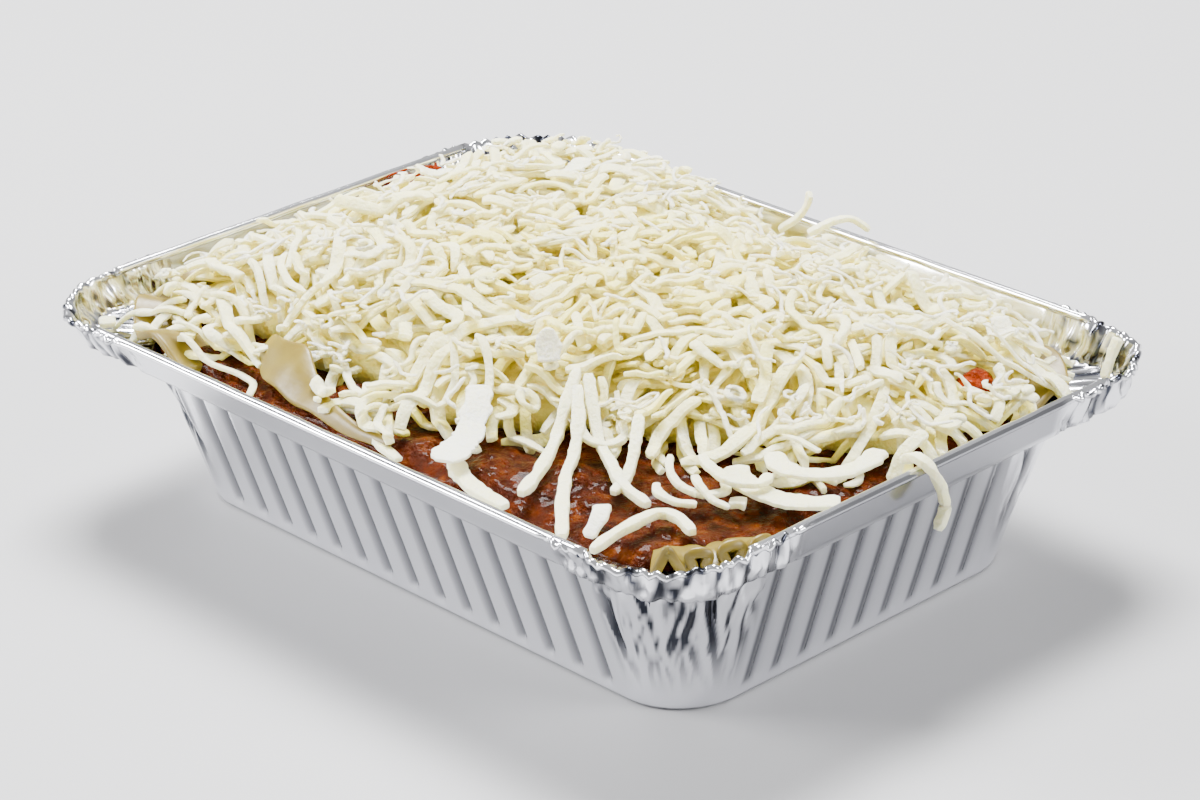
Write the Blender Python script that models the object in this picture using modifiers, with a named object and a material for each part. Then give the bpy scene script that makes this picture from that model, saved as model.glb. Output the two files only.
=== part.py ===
"""Ready-to-bake pasta meal in an oblong foil tray.

One rigid body. The thin foil tray holds a bed of meat sauce, a few pasta
sheets that show at its sides, and a heap of shredded cheese. The origin is the
centre of the flat base, +X runs along the long side and +Z is up. Sizes are in
metres.
"""

import math

import bmesh
import bpy
import numpy as np

MM = 0.001
GAP = 0.35 * MM                 # room between pieces that touch

# ---- foil tray, measured on its outer face ----
FOIL = 0.35 * MM
BASE_HALF = np.array([79.05, 52.05]) * MM
BASE_RADIUS = 15.2 * MM
WALL_HALF = np.array([91.8, 64.7]) * MM
WALL_RADIUS = 28.3 * MM
WALL_TOP = 38.2 * MM
LEDGE = 6.1 * MM
LEDGE_RADIUS = 15.6 * MM
RIM_TOP = 47.05 * MM
CORNER_DROP = 0.85 * MM         # the crimped corners end lower than the rims
FLARE_X = {1: 2.2 * MM, -1: 2.9 * MM}     # how far each short rim leans out
FLARE_Y = {1: 3.95 * MM, -1: 4.45 * MM}   # how far each long rim leans out
BEAD_RADIUS = 0.7 * MM
BEAD_SIDES = 8
RIM_HALF_RUN = np.array([77.7, 52.7]) * MM  # where the straight rims end
TRAY_CORNER_STEPS = 7

# ---- pressed ribs ----
PIVOT = np.array([63.5, 36.4]) * MM       # where the straight walls end
LONG_GROOVES = 15
SHORT_GROOVES = 9
GROOVE_WIDTH = 2.6 * MM
GROOVE_DEPTH = 1.1 * MM
GROOVE_LOW = 2.6 * MM
GROOVE_RAMP = 1.3 * MM

# ---- sauce ----
SAUCE_LEVEL = 39.9 * MM
SAUCE_EDGE = 37.4 * MM
SAUCE_LUMP = (38 * MM, -47 * MM, 9 * MM, 2.0 * MM)      # x, y, spread, height
CROSSED_WAVE = (0.55 * MM, 7.3 * MM, 0.6, 6.1 * MM)     # height, run in x, phase, run in y
SLANTED_WAVE = (0.45 * MM, 4.9 * MM, 1.1)               # height, run along x + y, phase
SAUCE_STEPS = (11, 6, 4)        # pieces along a long side, a short side and a corner
SAUCE_RINGS = (0.975, 0.91, 0.81, 0.68, 0.54, 0.38, 0.2)
SAUCE_SHOULDER = 0.07           # share of the half width over which the top dips to its edge

# ---- cheese heap ----
HEAP_CENTRE = np.array([-4.0, 10.0]) * MM
HEAP_FLOOR = 39.3 * MM
HEAP_RISE = 16.5 * MM
HEAP_SLOPE_RUN = 9.0 * MM
HEAP_HALF = np.array([90.0, 66.5]) * MM
HEAP_CORNER = 28.0 * MM
HEAP_SIDE_Y = -50.0 * MM        # bare strip beside the long front wall
CUT_FROM = np.array([10.0, -50.0]) * MM   # the open front corner's edge line
CUT_TO = np.array([92.0, 2.0]) * MM
CUT_BACK = 2.5 * MM
CUT_WAVE = (1.6 * MM, 6.5 * MM)           # height and run of the waves in that line
SIDE_WAVE = (1.5 * MM, 8.0 * MM)          # and in the edge of the bare strip
HEAP_FOOT = 41.6 * MM                     # height of the heap's edge
HEAP_DIP = (6 * MM, 56 * MM, 14 * MM, 0.4)              # x, y, spread, share of the rise
HEAP_SAG = (0.18, 90 * MM)                # share of the rise lost over this run in x
ROUGH_WAVE = (0.9 * MM, 6.3 * MM, 0.4, 7.9 * MM, 2.0)   # height, then run and phase in x and y
SLANTED_RIDGE = (0.7 * MM, 5.1 * MM)      # height, run along x - y
ROUGH_FROM = 6 * MM                       # the waves are full this far inside the edge
HEAP_BANK = (6.5 * MM, -42 * MM, 26 * MM, 64 * MM, 11 * MM)   # height, x, its half, y, its half
HEAP_TURNS = 60
HEAP_START, HEAP_STEP, HEAP_STEPS = 5 * MM, 0.25 * MM, 500    # search for the outline
HEAP_RINGS = (1, 0.96, 0.9, 0.81, 0.69, 0.54, 0.38, 0.2)

# ---- pasta ----
PASTA = 1.8 * MM
FRILL_ROWS = (0.0, 0.3, 0.62, 1.0)
FRILL_CALM = 0.85               # share of the waves lost over a sheet's width
FRILL_SINK = 1.4                # power by which a sheet sinks
WAVE_POINTS, ROOM_POINTS = 8, 4           # points for each wave: of a sheet, of its room
STANDING_ROWS = (0.0, 0.5, 1.0)
STANDING_POINTS = 4             # points for each knot of a standing sheet's path

# ---- loose pieces ----
SHRED_POINTS = 3                # points for each knot of a shred's path
SHRED_SIDES = 5
SHRED_TAPER = 0.55
CHUNK_STEPS = (12, 8)           # round and up a lump
CHUNK_DENTS = (0.08, 3, 1, 4, 0.05, 5)    # depth, x rate, x phase, y rate; depth, z rate
TINY = 1e-9


# ------------------------------------------------------------ mesh helpers

def new_object(name, mesh, material=None, cutter=False):
    """Wrap a mesh in an object and put it in the part's or the cutters' collection."""
    obj = bpy.data.objects.new(name, mesh)
    (CUTTERS if cutter else PARTS).objects.link(obj)
    if cutter:
        obj.hide_render = True
        obj.display_type = "WIRE"
    if material:
        mesh.materials.append(material)
    return obj


def loft(name, rings, close=True, wrap=True):
    """Skin a stack of rings that have equal point counts.

    close caps both ends with one face each; wrap joins each ring's last point to
    its first one.
    """
    count = len(rings[0])
    points = np.concatenate(rings)
    faces = []
    for row in range(len(rings) - 1):
        for k in range(count if wrap else count - 1):
            after = (k + 1) % count
            low, high = row * count, (row + 1) * count
            faces.append((low + k, low + after, high + after, high + k))
    if close:
        faces.append(tuple(reversed(range(count))))
        faces.append(tuple(range(len(points) - count, len(points))))
    mesh = bpy.data.meshes.new(name)
    mesh.from_pydata([tuple(p) for p in points], [], faces)
    return mesh


def face_out(mesh):
    """Turn all faces outwards, and fix how each bent face splits into triangles."""
    work = bmesh.new()
    work.from_mesh(mesh)
    bmesh.ops.recalc_face_normals(work, faces=work.faces)
    bmesh.ops.triangulate(work, faces=work.faces)
    work.to_mesh(mesh)
    work.free()


def solidify(obj, thickness, offset):
    """Give an open surface its thickness."""
    shell = obj.modifiers.new("thickness", "SOLIDIFY")
    shell.thickness = thickness
    shell.offset = offset


def boolean(obj, other, operation):
    """Cut obj by other, or join them."""
    change = obj.modifiers.new(other.name, "BOOLEAN")
    change.operation = operation
    change.solver = "EXACT"
    change.object = other


def smooth_path(points, count):
    """Catmull-Rom curve through hand-chosen points given in millimetres."""
    knots = np.array(points, float) * MM
    padded = np.vstack([2 * knots[0] - knots[1], knots, 2 * knots[-1] - knots[-2]])
    span = np.linspace(0, len(knots) - 1, count)
    k = np.minimum(span.astype(int), len(knots) - 2)
    t = (span - k)[:, None]
    a, b, c, d = (padded[k + n] for n in range(4))
    return 0.5 * (2 * b + (c - a) * t + (2 * a - 5 * b + 4 * c - d) * t**2
                  + (3 * b - a - 3 * c + d) * t**3)


def unit(vectors):
    """Scale each vector to length one."""
    return vectors / np.linalg.norm(vectors, axis=-1, keepdims=True)


def material(name, colour, roughness, metallic=0.0):
    """A plain Principled material."""
    made = bpy.data.materials.new(name)
    made.use_nodes = True
    shader = made.node_tree.nodes["Principled BSDF"]
    shader.inputs["Base Color"].default_value = (*colour, 1)
    shader.inputs["Roughness"].default_value = roughness
    shader.inputs["Metallic"].default_value = metallic
    return made


# ------------------------------------------------------------ the tray

def corner_reach(width, depth, radius, angle):
    """Distance from a corner's pivot to a rounded corner, along one angle."""
    across, along = math.cos(angle), math.sin(angle)
    centre_x, centre_y = width - radius, depth - radius
    if across > TINY and width / across * along <= centre_y:
        return width / across
    if along > TINY and depth / along * across <= centre_x:
        return depth / along
    middle = across * centre_x + along * centre_y
    return middle + math.sqrt(middle**2 - centre_x**2 - centre_y**2 + radius**2)


def side_stations(half_run, grooves):
    """Places along one straight side: each groove has two shoulders and a floor."""
    pitch = 2 * half_run / grooves
    stations = [(-half_run, 0.0)]
    for n in range(grooves):
        middle = -half_run + (n + 0.5) * pitch
        for shift, depth in ((-0.5, 0.0), (0.0, 1.0), (0.5, 0.0)):
            stations.append((middle + shift * GROOVE_WIDTH, depth))
    stations.append((half_run, 0.0))
    return stations


def plain_stations(half_run, pieces):
    """Evenly spaced places along one straight side, with no grooves."""
    return [(-half_run + 2 * half_run * n / pieces, 0.0) for n in range(pieces + 1)]


def outline(half, radius, z, long_side, short_side, corner_steps, groove=0.0,
            flare_x=None, flare_y=None, drop=0.0):
    """One closed ring of the tray: a rounded rectangle at height z.

    groove presses the floors inwards, the flares move single sides outwards,
    and drop lowers the corners.
    """
    flare_x = flare_x or {1: 0.0, -1: 0.0}
    flare_y = flare_y or {1: 0.0, -1: 0.0}
    ring = []
    for quarter in range(4):
        # each quarter is one side and the corner after it, anticlockwise
        turned = quarter % 2 == 1
        side = short_side if turned else long_side
        axis_out = 0 if turned else 1
        sign_out = (-1, 1, 1, -1)[quarter]
        sign_run = (1, 1, -1, -1)[quarter]
        flare = (flare_x, flare_y)[axis_out][sign_out]
        reach = half[axis_out] + flare
        for run, depth in side:
            point = [0.0, 0.0, z]
            point[1 - axis_out] = sign_run * run
            point[axis_out] = sign_out * (reach - groove * depth)
            ring.append(point)
        corner_x = sign_run if not turned else sign_out
        corner_y = sign_out if not turned else sign_run
        width = half[0] + flare_x[corner_x] - PIVOT[0]
        depth = half[1] + flare_y[corner_y] - PIVOT[1]
        for step in range(1, corner_steps):
            angle = math.pi / 2 * step / corner_steps
            if not turned:
                angle = math.pi / 2 - angle
            far = corner_reach(width, depth, min(radius, width, depth), angle)
            ring.append([
                corner_x * (PIVOT[0] + far * math.cos(angle)),
                corner_y * (PIVOT[1] + far * math.sin(angle)),
                z - drop * math.sin(2 * angle),
            ])
    return np.array(ring)


def wall_section(z):
    """Half sizes and corner radius of the sloping wall at height z."""
    part = z / WALL_TOP
    half = BASE_HALF + (WALL_HALF - BASE_HALF) * part
    return half, BASE_RADIUS + (WALL_RADIUS - BASE_RADIUS) * part


def make_tray():
    """Ribbed wall, ledge and upright rim as one open surface with foil thickness."""
    stations = (side_stations(PIVOT[0], LONG_GROOVES),
                side_stations(PIVOT[1], SHORT_GROOVES), TRAY_CORNER_STEPS)
    rings = []
    for z, groove in ((0.0, 0.0), (GROOVE_LOW, 0.0), (GROOVE_LOW + GROOVE_RAMP, GROOVE_DEPTH),
                      (WALL_TOP - GROOVE_RAMP, GROOVE_DEPTH), (WALL_TOP, 0.0)):
        half, radius = wall_section(z)
        rings.append(outline(half, radius, z, *stations, groove))
    ledge_half = WALL_HALF + LEDGE
    rings.append(outline(ledge_half, LEDGE_RADIUS, WALL_TOP, *stations))
    rings.append(outline(ledge_half, LEDGE_RADIUS + FLARE_Y[-1], RIM_TOP, *stations,
                         flare_x=FLARE_X, flare_y=FLARE_Y, drop=CORNER_DROP))
    mesh = loft("foil_tray", rings, close=False)
    base = bmesh.new()
    base.from_mesh(mesh)
    base.verts.ensure_lookup_table()
    base.faces.new([base.verts[n] for n in reversed(range(len(rings[0])))])
    base.to_mesh(mesh)
    base.free()
    tray = new_object("foil_tray", mesh, FOIL_LOOK)
    solidify(tray, FOIL, -1)
    for side in (-1, 1):
        y = side * (ledge_half[1] + FLARE_Y[side] - FOIL / 2)
        boolean(tray, make_bead(f"bead_y{side}", RIM_HALF_RUN[0], 0, y), "UNION")
        x = side * (ledge_half[0] + FLARE_X[side] - FOIL / 2)
        boolean(tray, make_bead(f"bead_x{side}", RIM_HALF_RUN[1], 1, x), "UNION")
    return tray


def make_bead(name, half_run, axis, out):
    """The rolled edge along one straight rim, as a rod."""
    work = bmesh.new()
    bmesh.ops.create_cone(work, cap_ends=True, segments=BEAD_SIDES, radius1=BEAD_RADIUS,
                          radius2=BEAD_RADIUS, depth=2 * half_run)
    mesh = bpy.data.meshes.new(name)
    work.to_mesh(mesh)
    work.free()
    bead = new_object(name, mesh, cutter=True)
    if axis == 0:
        bead.rotation_euler = (0, math.pi / 2, 0)
        bead.location = (0, out, RIM_TOP - BEAD_RADIUS / 2)
    else:
        bead.rotation_euler = (math.pi / 2, 0, 0)
        bead.location = (out, 0, RIM_TOP - BEAD_RADIUS / 2)
    return bead


# ------------------------------------------------------------ sauce and cheese

def sauce_height(x, y):
    """Lumpy top of the sauce: crossed waves and one larger lump near the front."""
    crossed, run_x, phase, run_y = CROSSED_WAVE
    slanted, run, turn = SLANTED_WAVE
    waves = (crossed * np.sin(x / run_x + phase) * np.cos(y / run_y)
             + slanted * np.sin((x + y) / run + turn))
    lump_x, lump_y, spread, height = SAUCE_LUMP
    lump = height * np.exp(-((x - lump_x)**2 + (y - lump_y)**2) / spread**2)
    return SAUCE_LEVEL + waves + lump


def make_sauce():
    """Fill the tray from its floor to the sauce's uneven surface."""
    long_steps, short_steps, corner_steps = SAUCE_STEPS
    stations = (plain_stations(PIVOT[0], long_steps), plain_stations(PIVOT[1], short_steps),
                corner_steps)
    inset = FOIL + GAP + GROOVE_DEPTH
    rings = []
    for z in (FOIL + GAP, SAUCE_EDGE):
        half, radius = wall_section(z)
        rings.append(outline(half - inset, radius, z, *stations))
    rim = rings[-1]
    for part in SAUCE_RINGS:
        ring = rim * [part, part, 1]
        top = sauce_height(ring[:, 0], ring[:, 1])
        ring[:, 2] = SAUCE_EDGE + (top - SAUCE_EDGE) * min(1, (1 - part) / SAUCE_SHOULDER)
        rings.append(ring)
    mesh = loft("meat_sauce", rings)
    face_out(mesh)
    return new_object("meat_sauce", mesh, SAUCE_LOOK)


def heap_inside(x, y):
    """Distance inside the heap's outline, negative outside it."""
    over = np.maximum(np.abs(x) - HEAP_HALF[0] + HEAP_CORNER, 0)
    deep = np.maximum(np.abs(y) - HEAP_HALF[1] + HEAP_CORNER, 0)
    walls = HEAP_CORNER - np.hypot(over, deep)
    along = unit(CUT_TO - CUT_FROM)
    cut = (y - CUT_FROM[1]) * along[0] - (x - CUT_FROM[0]) * along[1] - CUT_BACK
    cut = cut + CUT_WAVE[0] * np.sin(x / CUT_WAVE[1])
    side = y - HEAP_SIDE_Y + SIDE_WAVE[0] * np.sin(x / SIDE_WAVE[1])
    return np.minimum(np.minimum(walls, cut), side)


def heap_height(x, y):
    """Top of the shredded cheese: it rises quickly from its edge to a rolling crest."""
    inside = np.maximum(heap_inside(x, y), 0)
    rise = HEAP_RISE * (1 - np.exp(-inside / HEAP_SLOPE_RUN))
    dip_x, dip_y, dip_spread, dip_share = HEAP_DIP
    dip = 1 - dip_share * np.exp(-((x - dip_x)**2 + (y - dip_y)**2) / dip_spread**2)
    sag = 1 - HEAP_SAG[0] * np.clip(x / HEAP_SAG[1], 0, 1)
    tall, run_x, phase_x, run_y, phase_y = ROUGH_WAVE
    rough = (tall * np.sin(x / run_x + phase_x) * np.sin(y / run_y + phase_y)
             + SLANTED_RIDGE[0] * np.sin((x - y) / SLANTED_RIDGE[1]))
    bank_height, bank_x, half_x, bank_y, half_y = HEAP_BANK
    bank = bank_height * np.exp(-((x - bank_x) / half_x)**4 - ((y - bank_y) / half_y)**2)
    return HEAP_FOOT + rise * dip * sag + rough * np.minimum(inside / ROUGH_FROM, 1) + bank


def make_heap():
    """The heap as one solid: rings that shrink from its outline to its crest."""
    turns = np.linspace(0, 2 * math.pi, HEAP_TURNS, endpoint=False)
    reach = np.full(len(turns), HEAP_START)
    for _ in range(HEAP_STEPS):
        x = HEAP_CENTRE[0] + (reach + HEAP_STEP) * np.cos(turns)
        y = HEAP_CENTRE[1] + (reach + HEAP_STEP) * np.sin(turns)
        reach = np.where(heap_inside(x, y) > 0, reach + HEAP_STEP, reach)
    rings = []
    for part in HEAP_RINGS:
        x = HEAP_CENTRE[0] + part * reach * np.cos(turns)
        y = HEAP_CENTRE[1] + part * reach * np.sin(turns)
        rings.append(np.stack([x, y, heap_height(x, y)], axis=1))
    foot = rings[0].copy()
    foot[:, 2] = HEAP_FLOOR
    rings.insert(0, foot)
    mesh = loft("shredded_cheese", rings)
    face_out(mesh)
    return new_object("shredded_cheese", mesh, CHEESE_LOOK)


# ------------------------------------------------------------ pasta

def frill_rows(path, width, wave, drop, height, outer=0.0):
    """Rows of a sheet's wavy edge: a strip that leaves path inwards and calms down.

    wave is the height of the waves at the edge, height their value along the
    path, and drop how far the sheet sinks over its width. outer widens the
    strip at both sides.
    """
    count = len(height)
    edge = smooth_path(path, count)
    along = unit(np.gradient(edge, axis=0))
    inward = np.stack([-along[:, 1], along[:, 0], np.zeros(count)], axis=1)
    edge[0] -= along[0] * outer
    edge[-1] += along[-1] * outer
    rows = []
    for part in FRILL_ROWS:
        row = edge + inward * (part * (width + 2 * outer) - outer)
        row[:, 2] += wave * (1 - FRILL_CALM * part) * height - drop * part**FRILL_SINK
        rows.append(row)
    return rows


def make_frill(name, path, width, wave, peaks, drop, sharp_first, neighbours):
    """A pasta sheet's frilled edge, and the room that its neighbours leave for it."""
    phase = np.linspace(0, peaks, WAVE_POINTS * peaks + 1)
    height = -np.cos(2 * math.pi * phase)
    if sharp_first:
        height = np.where(phase < 1, 1 - 4 * np.abs(phase - 0.5), height)
    rows = frill_rows(path, width, wave, drop, height)
    piece = new_object(name, loft(name, rows, close=False, wrap=False), PASTA_LOOK)
    solidify(piece, PASTA, 0)
    steps = ROOM_POINTS * peaks + 1
    reach = wave + PASTA / 2 + GAP
    high = frill_rows(path, width, reach, drop, np.ones(steps), GAP)
    low = frill_rows(path, width, reach, drop, -np.ones(steps), GAP)
    spare = PASTA / 2
    section = [row + [0, 0, spare] for row in high] + [row - [0, 0, spare] for row in low[::-1]]
    room = f"{name}_room"
    mesh = loft(room, list(np.stack(section, axis=1)))
    face_out(mesh)
    cutter = new_object(room, mesh, cutter=True)
    for other in neighbours:
        boolean(other, cutter, "DIFFERENCE")


def standing_surface(path, drop, lean, grow):
    """A sheet on edge: its upper edge follows path and it leans out to the wall."""
    count = STANDING_POINTS * len(path)
    edge = smooth_path(path, count)
    along = unit(np.gradient(edge, axis=0))
    inward = np.stack([-along[:, 1], along[:, 0], np.zeros(count)], axis=1)
    edge[0] -= along[0] * grow
    edge[-1] += along[-1] * grow
    rows = []
    for part in STANDING_ROWS:
        row = edge + inward * (lean * part)
        row[:, 2] += grow - (drop + 2 * grow) * part
        rows.append(row)
    return rows


def make_standing(name, path, drop, lean, neighbours):
    """A pasta sheet that stands on edge, and the room that its neighbours leave."""
    piece = new_object(name, loft(name, standing_surface(path, drop, lean, 0.0),
                                  close=False, wrap=False), PASTA_LOOK)
    solidify(piece, PASTA, 0)
    room = f"{name}_room"
    cutter = new_object(room, loft(room, standing_surface(path, drop, lean, GAP),
                                   close=False, wrap=False), cutter=True)
    solidify(cutter, PASTA + 2 * GAP, 0)
    for other in neighbours:
        boolean(other, cutter, "DIFFERENCE")


# Edges of the pasta sheets that show, in millimetres.
FRONT_FRILL = [(82.5, -64.5, 42.2), (86, -61.2, 42.3), (89.5, -57.3, 42.3),
               (92.8, -52.6, 42.3), (95.2, -46.5, 42.3), (95.8, -39.5, 42.2)]
LEFT_FRILL = [(-91.2, -28, 41.6), (-91.6, -38, 41.6), (-90.6, -48, 41.8), (-87, -57, 42.2),
              (-79.5, -63.2, 42.2), (-69, -66, 41.8), (-58, -66.4, 41.4)]
RIGHT_FRILL = [(91.6, 36, 41.4), (91, 45, 41.6), (88.6, 53.5, 41.8), (83, 60.5, 41.8),
               (74.5, 65, 41.6), (64, 66.3, 41.4)]
SIDE_SHEET = [(-51, -44.5, 44.6), (-48.5, -52, 44.6), (-42, -57.4, 43.6), (-31, -60.4, 42.4),
              (-20, -61.6, 41.7), (-8, -61.8, 41.0), (5, -61, 40.4)]
FAR_TIP = [(-76.5, 64.2, 44.0), (-80, 61.8, 51.0), (-83.5, 59.0, 45.0), (-87, 55.5, 46.4),
           (-89.2, 51.0, 43.8)]


# Frilled sheets: path, width, wave, number of waves, drop, whether the first wave is pointed.
FRILLS = {
    "pasta_front_frill": (FRONT_FRILL, 12 * MM, 2.4 * MM, 4, 3.6 * MM, True),
    "pasta_left_frill": (LEFT_FRILL, 15 * MM, 1.6 * MM, 3, 2.4 * MM, False),
    "pasta_right_frill": (RIGHT_FRILL, 15 * MM, 1.2 * MM, 2, 2.2 * MM, False),
}
# Sheets on edge: path, height, lean.
STANDING = {
    "pasta_side_sheet": (SIDE_SHEET, 8 * MM, 2.6 * MM),
    "pasta_far_tip": (FAR_TIP, 4.2 * MM, 0.6 * MM),
}


# ------------------------------------------------------------ loose pieces

def make_ribbon(name, points, width, thickness, look, lift=(0, 0, 1)):
    """A shred of cheese: a flat oval carried along a smooth path, with blunt ends."""
    count = SHRED_POINTS * len(points)
    path = smooth_path(points, count)
    along = unit(np.gradient(path, axis=0))
    across = unit(np.cross(np.array(lift, float), along))
    over = np.cross(along, across)
    taper = np.ones(count)
    taper[[0, -1]] = SHRED_TAPER
    rings = []
    for k in range(count):
        turn = np.arange(SHRED_SIDES) * 2 * math.pi / SHRED_SIDES
        rings.append(path[k] + taper[k] * (np.outer(np.cos(turn), across[k]) * width / 2
                                           + np.outer(np.sin(turn), over[k]) * thickness / 2))
    mesh = loft(name, rings)
    face_out(mesh)
    return new_object(name, mesh, look)


def make_chunk(name, centre, size, look, neighbours):
    """A lump coated in sauce: a ball, stretched and dented, with room cut for it."""
    round_steps, up_steps = CHUNK_STEPS
    deep, rate_x, phase_x, rate_y, shallow, rate_z = CHUNK_DENTS
    for label, grow, cutter in ((name, 0.0, False), (f"{name}_room", GAP, True)):
        work = bmesh.new()
        bmesh.ops.create_uvsphere(work, u_segments=round_steps, v_segments=up_steps, radius=1.0)
        for vert in work.verts:
            x, y, z = vert.co
            dent = (1 + deep * math.sin(rate_x * x + phase_x) * math.cos(rate_y * y)
                    + shallow * math.sin(rate_z * z))
            vert.co = [(centre[n] + (x, y, z)[n] * size[n] * dent) * MM
                       + (x, y, z)[n] * grow for n in range(3)]
        mesh = bpy.data.meshes.new(label)
        work.to_mesh(mesh)
        work.free()
        made = new_object(label, mesh, None if cutter else look, cutter)
    for other in neighbours:
        boolean(other, made, "DIFFERENCE")


# Loose shreds: route in millimetres, width, thickness.
SHREDS = {
    "hanging_shred": ([(93, -1.5, 45.4), (96.5, -3.8, 48.2), (100, -5, 49.2), (102.6, -4.2, 47.2),
                       (103.3, -2.2, 42.5), (103.5, -1.6, 38.2), (103.3, -3.4, 34.2)], 2.4, 1.8),
    "front_shred_long": ([(41, -43.5, 44.6), (46, -50.5, 43.6), (54, -59, 42.4), (62.5, -67, 42.0)],
                         2.6, 1.8),
    "front_shred_left": ([(33, -40.5, 45.6), (36.5, -45.5, 45.0), (41, -53.5, 43.8),
                          (43.5, -60.5, 42.6)], 2.6, 1.8),
    "front_shred_right": ([(40.5, -36, 44.6), (49, -41, 44.4), (57, -45, 43.2), (65.5, -46.6, 42.6)],
                          2.4, 1.8),
    "front_shred_bent": ([(71.5, -67.5, 42.4), (70.4, -61, 42.8), (69.9, -54, 43.0),
                          (70.4, -48.4, 43.0), (74.6, -47.2, 43.0), (81.5, -50.2, 43.4)], 2.4, 1.8),
    "front_curl": ([(60.4, -54.6, 42.3), (63, -56.6, 44.8), (65.6, -60, 44.6), (66.8, -64, 42.4)],
                   3.2, 1.2),
    "blunt_shred": ([(24, -60.6, 43.0), (29, -63.2, 42.6), (36, -64.6, 42.0), (44, -65.2, 41.6)],
                    4.0, 1.6),
    "ragged_ribbon": ([(17.5, -50.4, 45.4), (20.5, -54.6, 45.6), (23, -59, 46.0),
                       (26.5, -66, 46.2)], 6.4, 1.0),
    "broad_ribbon_low": ([(68, -25.2, 44.0), (74, -27.8, 43.6), (81, -28.4, 43.2),
                          (88, -26, 43.2), (93.4, -21, 43.4)], 5.0, 1.2),
    "broad_ribbon_high": ([(71.5, -17.2, 45.4), (77, -20.6, 45.6), (83, -20.2, 45.8),
                           (88.2, -15.4, 46.0), (89.2, -9, 46.2), (87.4, -3.4, 46.4)], 4.6, 1.2),
    "front_crumb": ([(76.3, -34.6, 42.2), (77.6, -33.6, 42.4), (78.9, -32.6, 42.2)], 3.2, 1.6),
    "corner_shred": ([(90.2, 63.8, 40.6), (89.8, 65.6, 43.0), (89.6, 67.2, 45.6),
                      (89.8, 68.6, 48.4)], 2.0, 1.6),
    "corner_crumb": ([(-92.4, -61.2, 40.4), (-91, -62.4, 40.8), (-89.4, -63.6, 40.4)], 3.0, 1.6),
}
# The thin flake that stands up, and the direction that its width is square to.
FLAKE = ([(20.5, -30.8, 54.5), (18.6, -29.2, 57.5), (17.4, -28.2, 60.5)], 5.6, 1.1)
FLAKE_LIFT = (0.73, -0.68, 0.0)
# Lumps: centre and half sizes in millimetres.
CHUNKS = {
    "tomato_right": ((80.3, 33.9, 45.4), (4.1, 4.3, 4.1)),
    "tomato_far": ((-94.2, 35.0, 44.2), (2.7, 5.6, 4.6)),
}


# ------------------------------------------------------------ assembly

for old in list(bpy.data.objects):
    bpy.data.objects.remove(old)
PARTS = bpy.data.collections.new("foil_tray_meal")
CUTTERS = bpy.data.collections.new("cutters")
bpy.context.scene.collection.children.link(PARTS)
bpy.context.scene.collection.children.link(CUTTERS)

FOIL_LOOK = material("foil", (0.78, 0.78, 0.82), 0.28, 1.0)
SAUCE_LOOK = material("meat_sauce", (0.30, 0.06, 0.012), 0.25)
CHEESE_LOOK = material("cheese", (0.86, 0.82, 0.62), 0.5)
PASTA_LOOK = material("pasta", (0.76, 0.58, 0.24), 0.4)
CHUNK_LOOK = material("tomato", (0.38, 0.07, 0.012), 0.2)

TRAY = make_tray()
SAUCE = make_sauce()
HEAP = make_heap()
SAUCE_ROOM = new_object("sauce_room", SAUCE.data.copy(), cutter=True)
SAUCE_ROOM.location = (0, 0, GAP)
boolean(HEAP, SAUCE_ROOM, "DIFFERENCE")

CUT_BY = {
    "pasta_front_frill": [SAUCE],
    "pasta_left_frill": [SAUCE, HEAP],
    "pasta_right_frill": [SAUCE, HEAP],
    "pasta_side_sheet": [SAUCE, HEAP],
    "pasta_far_tip": [HEAP],
    "tomato_right": [HEAP],
    "tomato_far": [],
}
for piece_name, facts in FRILLS.items():
    make_frill(piece_name, *facts, CUT_BY[piece_name])
for piece_name, facts in STANDING.items():
    make_standing(piece_name, *facts, CUT_BY[piece_name])
for piece_name, (middle, half_size) in CHUNKS.items():
    make_chunk(piece_name, middle, half_size, CHUNK_LOOK, CUT_BY[piece_name])
for piece_name, (route, shred_width, shred_depth) in SHREDS.items():
    make_ribbon(piece_name, route, shred_width * MM, shred_depth * MM, CHEESE_LOOK)
make_ribbon("standing_flake", FLAKE[0], FLAKE[1] * MM, FLAKE[2] * MM, CHEESE_LOOK, FLAKE_LIFT)
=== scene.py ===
# %% [markdown]
# # A ready-to-bake pasta meal in a foil tray
# Thin foil pressed into an oblong tray holds a bed of meat sauce, the wavy edges of a few pasta
# sheets, and a tall heap of shredded cheese. The plain solids come in as a fixed frame. Each one
# is replaced here by a finer surface: a grid of points worked out with numpy from a formula.

# %% Load the frame
import math

import bpy
import numpy as np
from mathutils import Matrix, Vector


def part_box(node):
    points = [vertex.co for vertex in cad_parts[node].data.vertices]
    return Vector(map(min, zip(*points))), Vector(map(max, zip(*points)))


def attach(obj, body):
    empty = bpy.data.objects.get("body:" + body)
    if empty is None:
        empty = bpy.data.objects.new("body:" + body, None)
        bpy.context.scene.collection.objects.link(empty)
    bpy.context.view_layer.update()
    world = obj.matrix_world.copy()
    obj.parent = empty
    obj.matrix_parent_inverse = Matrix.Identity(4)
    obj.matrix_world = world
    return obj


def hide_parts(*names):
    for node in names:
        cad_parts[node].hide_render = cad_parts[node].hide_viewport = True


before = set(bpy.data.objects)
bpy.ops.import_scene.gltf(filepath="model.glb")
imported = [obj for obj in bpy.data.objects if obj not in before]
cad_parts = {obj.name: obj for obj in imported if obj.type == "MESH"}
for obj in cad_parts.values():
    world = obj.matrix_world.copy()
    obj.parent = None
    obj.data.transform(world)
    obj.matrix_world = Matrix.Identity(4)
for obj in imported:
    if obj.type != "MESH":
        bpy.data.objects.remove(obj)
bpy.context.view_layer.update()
MM = 0.001
print("solids in the frame:", len(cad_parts))

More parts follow.
